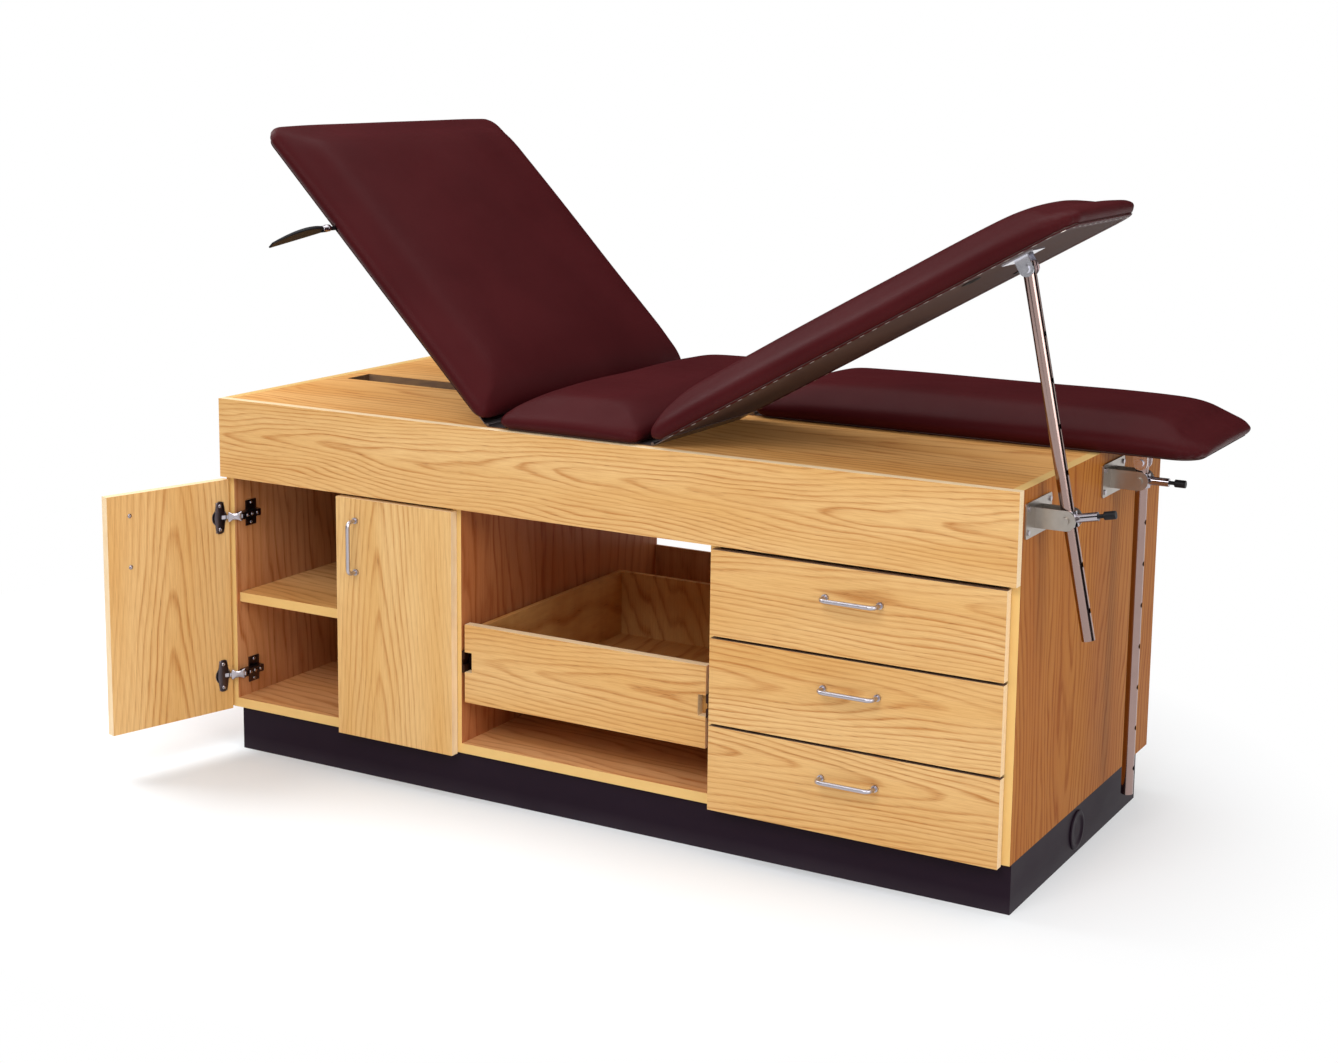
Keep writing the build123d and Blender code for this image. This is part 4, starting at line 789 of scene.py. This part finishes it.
def make_cushions():
    pads = [
        Pad("backrest", ("high",), 0.035, (0.22, 0.12)),
        Pad("cabinet", ("low", "high"), HINGE_CORNER, (0.26, 0.0)),
        Pad("front_leg", ("low",), 0.060, (0.24, 0.20), 1),
        Pad("rear_leg", ("low",), 0.060, (0.24, 0.20), -1),
    ]
    for pad in pads:
        remesh(pad)
    stuff(pads)
    for pad in pads:
        settle(pad)
        finish_pad(pad)
    return pads


# ------------------------------------------------------------------ fittings
def join(name, pieces, material, body, smooth=True):
    """One object from several (vertices, faces) lists."""
    verts, faces = [], []
    for some_verts, some_faces in pieces:
        start = len(verts)
        verts += [tuple(v) for v in some_verts]
        faces += [tuple(i + start for i in face) for face in some_faces]
    mesh = bpy.data.meshes.new(name)
    mesh.from_pydata(verts, [], faces)
    bm = bmesh.new()
    bm.from_mesh(mesh)
    bmesh.ops.recalc_face_normals(bm, faces=bm.faces)
    bm.to_mesh(mesh)
    bm.free()
    shade_smooth(mesh, smooth)
    mesh.materials.append(material)
    obj = link(name, mesh)
    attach(obj, body)


def bands(rows, count):
    """The faces between rows of count points each, one row above the other."""
    faces = []
    for row in range(rows - 1):
        for k in range(count):
            a, b = row * count + k, row * count + (k + 1) % count
            faces.append((a, b, b + count, a + count))
    return faces


def lathe(profile, place, axis, steps=24, shape=None):
    """A closed turned shape: profile is (radius, height) pairs from the axis round to the axis."""
    turn = Vector(axis).normalized().to_track_quat("Z", "Y").to_matrix()

    def spot(radius, height, angle):
        v = Vector((radius * math.cos(angle), radius * math.sin(angle), height))
        return Vector(place) + turn @ (shape(v, angle) if shape else v)

    rings = [p for p in profile if p[0] > 0]
    verts = [spot(*p, 2 * math.pi * k / steps) for p in rings for k in range(steps)]
    verts += [spot(*profile[0], 0.0), spot(*profile[-1], 0.0)]
    faces = bands(len(rings), steps)
    foot, last = len(rings) * steps, (len(rings) - 1) * steps
    for k in range(steps):
        faces.append((foot, (k + 1) % steps, k))
        faces.append((foot + 1, last + k, last + (k + 1) % steps))
    return verts, faces


def screw(place, axis, radius, height):
    """A pan head with a cross recess."""

    def recess(v, angle):
        reach = math.hypot(v.x, v.y) / radius
        arm = abs(math.sin(2 * angle)) if reach > 0.05 else 0.0
        if reach < 0.62 and v.z > height * 0.5:
            v.z -= height * 0.75 * max(0.0, 1 - arm * 2.4) * (1 - reach)
        return v

    profile = [(0, 0), (radius, 0), (radius, height * 0.45), (radius * 0.86, height * 0.8)]
    profile += [(radius * share, height * (1.02 - 0.1 * share)) for share in (0.62, 0.45, 0.3, 0.15)]
    return lathe(profile + [(0, height)], place, axis, shape=recess)


def plate(outline, thickness, place, right, up=Z):
    """A flat plate with rounded rims. outline is (across, upward) pairs; right and up are its directions."""
    right, up = Vector(right).normalized(), Vector(up)
    out = right.cross(up)
    count = len(outline)
    middle = Vector((sum(p[0] for p in outline) / count, sum(p[1] for p in outline) / count))

    def spot(p, height):
        return Vector(place) + right * p.x + up * p.y + out * thickness * height

    levels = ((0.97, 0.0), (1.0, 0.18), (1.0, 0.7), (0.94, 1.0))
    verts = [spot(middle + (Vector(p) - middle) * scale, height) for scale, height in levels for p in outline]
    faces = bands(len(levels), count)
    for start, height in ((0, 0.0), ((len(levels) - 1) * count, 1.0)):
        centre = len(verts)
        verts.append(spot(middle, height))
        faces += [(centre, start + k, start + (k + 1) % count) for k in range(count)]
    return verts, faces


# The concealed hinges: sheet thickness, the cup's place, its screws' heights from its middle, and the arm's
# screws, each with how far it stands off the board, its y, its height from the middle, radius and height.
SHEET = 0.0012
CUP_FROM_EDGE = 0.0225
WING_SCREWS = (-0.024, 0.024)
ARM_SCREWS = [(0.0025, -0.3154, z, 0.0040, 0.0020) for z in (0.020, -0.020)]
ARM_SCREWS += [(0.0150, y, 0.0, 0.0038, 0.0016) for y in (-0.3100, -0.3260, -0.3400)]


def wing_outline():
    """The tall plate of a hinge cup, widest in its middle."""
    outline = []
    for k in range(40):
        angle = 2 * math.pi * k / 40
        tall = 0.033 * signed_power(math.sin(angle), 0.55)
        wide = 0.0105 + 0.0025 * math.exp(-((tall / 0.012) ** 2))
        outline.append((wide * signed_power(math.cos(angle), 0.6), tall))
    return outline


def link_outline(length):
    """The waisted cover between a link's two pins."""
    outline = []
    for k in range(48):
        angle = 2 * math.pi * k / 48
        along = length / 2 * signed_power(math.cos(angle), 0.5)
        tall = 0.0060 + 0.0085 * (abs(along) / (length / 2)) ** 2
        outline.append((along, tall * signed_power(math.sin(angle), 0.5)))
    return outline


def link_covers(side):
    """The bright covers of a door's hinge links, on the side that looks into the cabinet when it is shut."""
    points = coordinates(NODES[side + "_hinge_links"].data)
    points = points[points[:, 2] < sum(HINGE_HEIGHTS) / 2]
    centre = points.mean(0)
    spread = np.linalg.svd((points - centre)[:, :2], full_matrices=False)[2][0]
    along = (points - centre)[:, :2] @ spread
    centre[:2] += spread * (along.min() + along.max()) / 2
    across = Vector((*spread, 0))
    facing = across.cross(Vector(Z))
    outward = Vector((0.5, -0.85, 0)) if side == "left" else Vector(Y)
    if facing.dot(outward) < 0:
        across, facing = -across, -facing
    outline = link_outline(0.84 * np.ptp(along))
    covers = []
    for z in HINGE_HEIGHTS:
        place = Vector((centre[0], centre[1], z)) + facing * 0.0017
        covers.append(plate(outline, SHEET, place, across))
    join(side + "_link_covers", covers, CHROME, side + "_links")


def hinge_pieces():
    """The wings, screws and link covers of the four concealed hinges."""
    for side, (edge, arm_face, way) in DOORS.items():
        swing = DOOR_SWING[side]
        out = swing.to_3x3() @ Vector(Y)
        heads, wings, arm_heads = [], [], []
        for z in HINGE_HEIGHTS:
            cup = Vector((edge + way * CUP_FROM_EDGE, DOOR_INNER_FACE, z))
            place = swing @ (cup + Vector((0, 0.0015, 0)))
            wings.append(plate(wing_outline(), SHEET, place, Vector(Z).cross(out)))
            for dz in WING_SCREWS:
                heads.append(screw(swing @ (cup + Vector((0, 0.0026, dz))), out, 0.0042, 0.0018))
            for off, y, dz, radius, height in ARM_SCREWS:
                arm_heads.append(screw((arm_face + way * off, y, z + dz), (way, 0, 0), radius, height))
        join(side + "_hinge_wings", wings, DARK_STEEL, side + "_door")
        join(side + "_wing_screws", heads, CHROME, side + "_door")
        join(side + "_arm_screws", arm_heads, CHROME, "cabinet")
        link_covers(side)


def pull_screws():
    """The screws that hold the pulls, seen from inside."""
    size = (0.0045, 0.0022)
    apart = (-PULL_HALF, PULL_HALF)
    for side, (edge, _, way) in DOORS.items():
        swing = DOOR_SWING[side]
        out = swing.to_3x3() @ Vector(Y)
        middle = Vector((edge + way * PULL_FROM_EDGE, DOOR_INNER_FACE, PULL_HEIGHT))
        heads = [screw(swing @ (middle + Vector((0, 0, dz))), out, *size) for dz in apart]
        join(side + "_pull_screws", heads, CHROME, side + "_door")
    for drawer in DRAWERS:
        low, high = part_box(drawer + "_front")
        x, z = (low.x + high.x) / 2, high.z - 0.055
        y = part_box(drawer + "_box")[0].y + 0.012
        heads = [screw((x + dx, y, z), Y, *size) for dx in apart]
        join(drawer + "_pull_screws", heads, CHROME, drawer)


def bumpers():
    """The rubber feet under the leg rests."""
    profile = [(0, -0.0004), (0.0175, -0.0004), (0.0175, 0.0006), (0.0150, 0.0012), (0.005, 0.0012),
               (0.004, 0.0006), (0, 0.0006)]
    for leg, sides in (("front_leg", (-0.310, -0.075)), ("rear_leg", (0.075, 0.310))):
        down = LEAN[leg].to_3x3() @ Vector((0, 0, -1))
        places = [LEAN[leg] @ Vector((LEG_PIVOT_X + 0.655, y, BOARD_UNDERSIDE)) for y in sides]
        feet = [lathe(profile, place, down, 28) for place in places]
        join(leg + "_bumpers", feet, RUBBER, leg)


def end_cap():
    """The round cap on the plinth's foot end: a raised ring with a shallow dish inside it."""
    inner, outer, height = 0.026, 0.036, 0.0030
    profile = [(0, 0), (outer, 0), (outer, height * 0.7), (outer * 0.97, height), (inner * 1.04, height),
               (inner, height * 0.55), (inner * 0.5, height * 0.5), (0, height * 0.5)]
    cap = [lathe(profile, (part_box("base_frame")[1].x, -0.025, 0.044), X, 40)]
    join("base_end_cap", cap, NODES["base_frame"].material_slots[0].material, "cabinet")


def lever_sleeve():
    """The bright sleeve on the release lever's shaft."""
    spot = LEAN["backrest"] @ Vector((BACKREST_PIVOT_X - 0.485, 0, BOARD_UNDERSIDE + 0.007))
    profile = [(0, 0), (0.0062, 0), (0.0068, 0.0010), (0.0068, 0.0120), (0.0056, 0.0135), (0.0056, 0.0200),
               (0.0048, 0.0210), (0, 0.0210)]
    sleeve = [lathe(profile, (spot.x, -0.391, spot.z), (0, -1, 0))]
    join("lever_sleeve", sleeve, CHROME, "lever")


def edge_path(pad, inset):
    """Points and ways out round a pad's sides and free end, from its hinge end and back to it."""
    (hinge_x, _, _, _), (free_x, sign, corner, _) = sorted(pad.ends(), key=lambda end: not end[3])
    start = hinge_x + sign * 0.036
    centre_x = free_x - sign * corner
    low_y, high_y = pad.low[1], pad.high[1]
    path = [((x, low_y), (0, -1)) for x in np.linspace(start, centre_x, 40)]
    for angle in np.linspace(-math.pi / 2, 0, 12)[1:]:
        out = (sign * math.cos(angle), math.sin(angle))
        path.append(((centre_x + corner * out[0], low_y + corner + corner * out[1]), out))
    path += [((free_x, y), (sign, 0)) for y in np.linspace(low_y + corner, high_y - corner, 24)[1:]]
    for angle in np.linspace(0, math.pi / 2, 12)[1:]:
        out = (sign * math.cos(angle), math.sin(angle))
        path.append(((centre_x + corner * out[0], high_y - corner + corner * out[1]), out))
    path += [((x, high_y), (0, 1)) for x in np.linspace(centre_x, start, 40)[1:]]
    return [((p[0] - w[0] * inset, p[1] - w[1] * inset), w) for p, w in path]


MARGIN_UNDERSIDE = 0.7250


def turned_under(pad):
    """The cover's margin, turned under the board."""
    rows = []
    section = ((0.0125, 0.7264), (0.0150, MARGIN_UNDERSIDE), (0.0320, MARGIN_UNDERSIDE), (0.0330, 0.7254),
               (0.0320, 0.7256), (0.0150, 0.7262))
    for number, (inset, z) in enumerate(section):
        row = []
        for k, (p, w) in enumerate(edge_path(pad, inset)):
            wave = 0.0009 * math.sin(k * 1.9) + 0.0006 * math.sin(k * 4.3) if 1 < number < 5 else 0.0
            row.append(pad.lean @ Vector((p[0] - w[0] * wave, p[1] - w[1] * wave, z)))
        rows.append(row)
    count = len(rows[0])
    faces = []
    for r in range(len(rows)):
        after = (r + 1) % len(rows)
        for k in range(count - 1):
            faces.append((r * count + k, r * count + k + 1, after * count + k + 1, after * count + k))
    faces += [tuple(r * count + k for r in range(len(rows))) for k in (0, count - 1)]
    join(pad.body + "_cover_margin", [(sum(rows, []), faces)], VINYL, pad.body)


def staple(pad, x, y, along, aside):
    """One staple's crown, a little of it sunk in the margin."""
    verts = []
    for z, slim in ((0.0003, 1.0), (-0.0007, 0.8)):
        for i, j in ((-1, -1), (1, -1), (1, 1), (-1, 1)):
            reach = along * 0.0052 * i * slim + aside * 0.0007 * j * slim
            verts.append(pad.lean @ (Vector((x, y, MARGIN_UNDERSIDE + z)) + reach))
    return verts, [(0, 1, 2, 3), (4, 5, 6, 7), (0, 1, 5, 4), (1, 2, 6, 5), (2, 3, 7, 6), (3, 0, 4, 7)]


def staple_down(pad):
    """Staples along the turned margin, one at each pitch."""
    pitch, gap, staples = 0.026, 0.0, []
    path = edge_path(pad, 0.022)
    for (p, w), (q, _) in zip(path[:-1], path[1:]):
        step = math.dist(p, q)
        along = Vector((q[0] - p[0], q[1] - p[1], 0)).normalized()
        while gap < step:
            x, y = (p[i] + (q[i] - p[i]) * gap / step for i in (0, 1))
            staples.append(staple(pad, x, y, along, Vector((*w, 0))))
            gap += pitch
        gap -= step
    join(pad.body + "_staples", staples, ZINC, pad.body, smooth=False)


# ------------------------------------------------------------------ stage, light and camera
def seen_plainly(tree):
    """1 for what the camera sees, itself, in gloss or through glass, and 0 for the light on the object."""
    path = add_node(tree, "LightPath").outputs
    seen = path["Is Camera Ray"]
    for ray in ("Is Glossy Ray", "Is Transmission Ray"):
        seen = add_node(tree, "Math", seen, path[ray], operation="MAXIMUM").outputs[0]
    return seen


def build_world():
    world = bpy.data.worlds.new("studio")
    SCENE.world = world
    world.use_nodes = True
    tree = world.node_tree
    tree.nodes.clear()
    room = add_node(tree, "Background", (1, 0.985, 0.97, 1), 0.42).outputs[0]
    white = add_node(tree, "Background", (1, 1, 1, 1), 1.0).outputs[0]
    mix = add_node(tree, "MixShader", seen_plainly(tree), room, white)
    add_node(tree, "OutputWorld", mix.outputs[0])


def build_floor():
    """A pale floor that keeps the object's shadow near it, and is plain white further out."""
    bm = bmesh.new()
    bmesh.ops.create_grid(bm, x_segments=24, y_segments=24, size=12)
    floor = from_bmesh("studio_floor", bm)
    s = Shader("studio_floor")
    s.set(Base_Color=(0.80, 0.80, 0.80, 1), Roughness=0.9, Specular_IOR_Level=0.0)
    x, y, _ = s.axes()
    dx = s.math("DIVIDE", s.math("ADD", x, 0.45), 1.40)
    dy = s.math("DIVIDE", y, 1.10)
    far = s.math("SQRT", s.math("ADD", s.math("MULTIPLY", dx, dx), s.math("MULTIPLY", dy, dy)))
    shadowed = s.add("BsdfDiffuse", (0.88, 0.91, 0.94, 1)).outputs[0]
    white = s.add("Emission", (1, 1, 1, 1), 1.0).outputs[0]
    shown = s.add("MixShader", s.span(far, 0.75, 1.25), shadowed, white).outputs[0]
    final = s.add("MixShader", seen_plainly(s.tree), s.surface.outputs[0], shown)
    put(s.tree, s.output.inputs[0], final.outputs[0])
    floor.data.materials.append(s.material)


def add_light(name, place, target, size, power):
    data = bpy.data.lights.new(name, "AREA")
    data.shape = "RECTANGLE"
    data.size, data.size_y = size
    data.energy = power
    light = bpy.data.objects.new(name, data)
    SCENE.collection.objects.link(light)
    light.location = place
    light.rotation_euler = (Vector(target) - Vector(place)).to_track_quat("-Z", "Y").to_euler()


def add_card(name, azimuth, distance, size):
    """A dark card that only reflections see, so that plated metal has the dark streaks of a real room."""
    bm = bmesh.new()
    bmesh.ops.create_grid(bm, x_segments=2, y_segments=2, size=0.5)
    bmesh.ops.scale(bm, verts=bm.verts, vec=(*size, 1))
    card = from_bmesh(name, bm)
    angle = math.radians(azimuth)
    place = Vector((math.sin(angle) * distance, -math.cos(angle) * distance, size[1] / 2))
    card.location = place
    card.rotation_euler = Vector((place.x, place.y, 0)).to_track_quat("Z", "Y").to_euler()
    card.visible_camera = False
    card.visible_diffuse = False
    card.visible_shadow = False
    card.visible_transmission = False
    s = Shader(name)
    s.set(Base_Color=(0.02, 0.018, 0.022, 1), Roughness=0.9, Specular_IOR_Level=0.0)
    card.data.materials.append(s.material)


def build_lights():
    add_light("key", (0.4, -4.0, 3.7), (0, 0, 0.5), (3.0, 2.4), 112)
    add_light("fill", (3.8, -1.6, 2.0), (0.2, 0, 0.6), (2.0, 2.0), 50)
    add_light("overhead", (0.0, 0.6, 4.6), (0, 0, 0.5), (4.0, 3.0), 70)
    add_light("head_end", (-2.6, -0.4, 2.8), (-0.6, 0, 0.72), (1.6, 1.6), 58)
    add_card("dark_card_front", -32.0, 7.5, (8.0, 5.0))
    add_card("dark_card_side", 100.0, 7.5, (7.0, 5.0))
    add_card("dark_card_back", 190.0, 7.5, (13.0, 8.0))


# The photograph's camera: where it stands, how it is turned in degrees, and its lens in millimetres.
STAND = Vector((2.012, -3.584, 1.420))
AZIMUTH, ELEVATION, ROLL = 29.641, 9.271, 0.676
LENS, SENSOR, SHIFT = 57.70, 36.0, -0.1


def build_camera():
    az, el, roll = (math.radians(a) for a in (AZIMUTH, ELEVATION, ROLL))
    back = Vector((math.sin(az) * math.cos(el), -math.cos(az) * math.cos(el), math.sin(el)))
    right = Vector(Z).cross(back).normalized()
    up = back.cross(right)
    across = right * math.cos(roll) + up * math.sin(roll)
    upward = up * math.cos(roll) - right * math.sin(roll)
    data = bpy.data.cameras.new("camera")
    data.lens = LENS
    data.sensor_width = SENSOR
    data.shift_y = SHIFT
    data.clip_start = 0.05
    data.clip_end = 60
    camera = bpy.data.objects.new("camera", data)
    SCENE.collection.objects.link(camera)
    camera.matrix_world = Matrix.Translation(STAND) @ Matrix((across, upward, back)).transposed().to_4x4()
    SCENE.camera = camera


SCENE.view_settings.view_transform = "Standard"
build_camera()
build_world()
build_floor()
build_lights()
paint_cabinet()
paint_fronts()
paint_metal()
ease_edges()
for cushion in make_cushions():
    if cushion.body != "cabinet":
        turned_under(cushion)
        staple_down(cushion)
hinge_pieces()
pull_screws()
bumpers()
end_cap()
lever_sleeve()

bpy.context.view_layer.update()
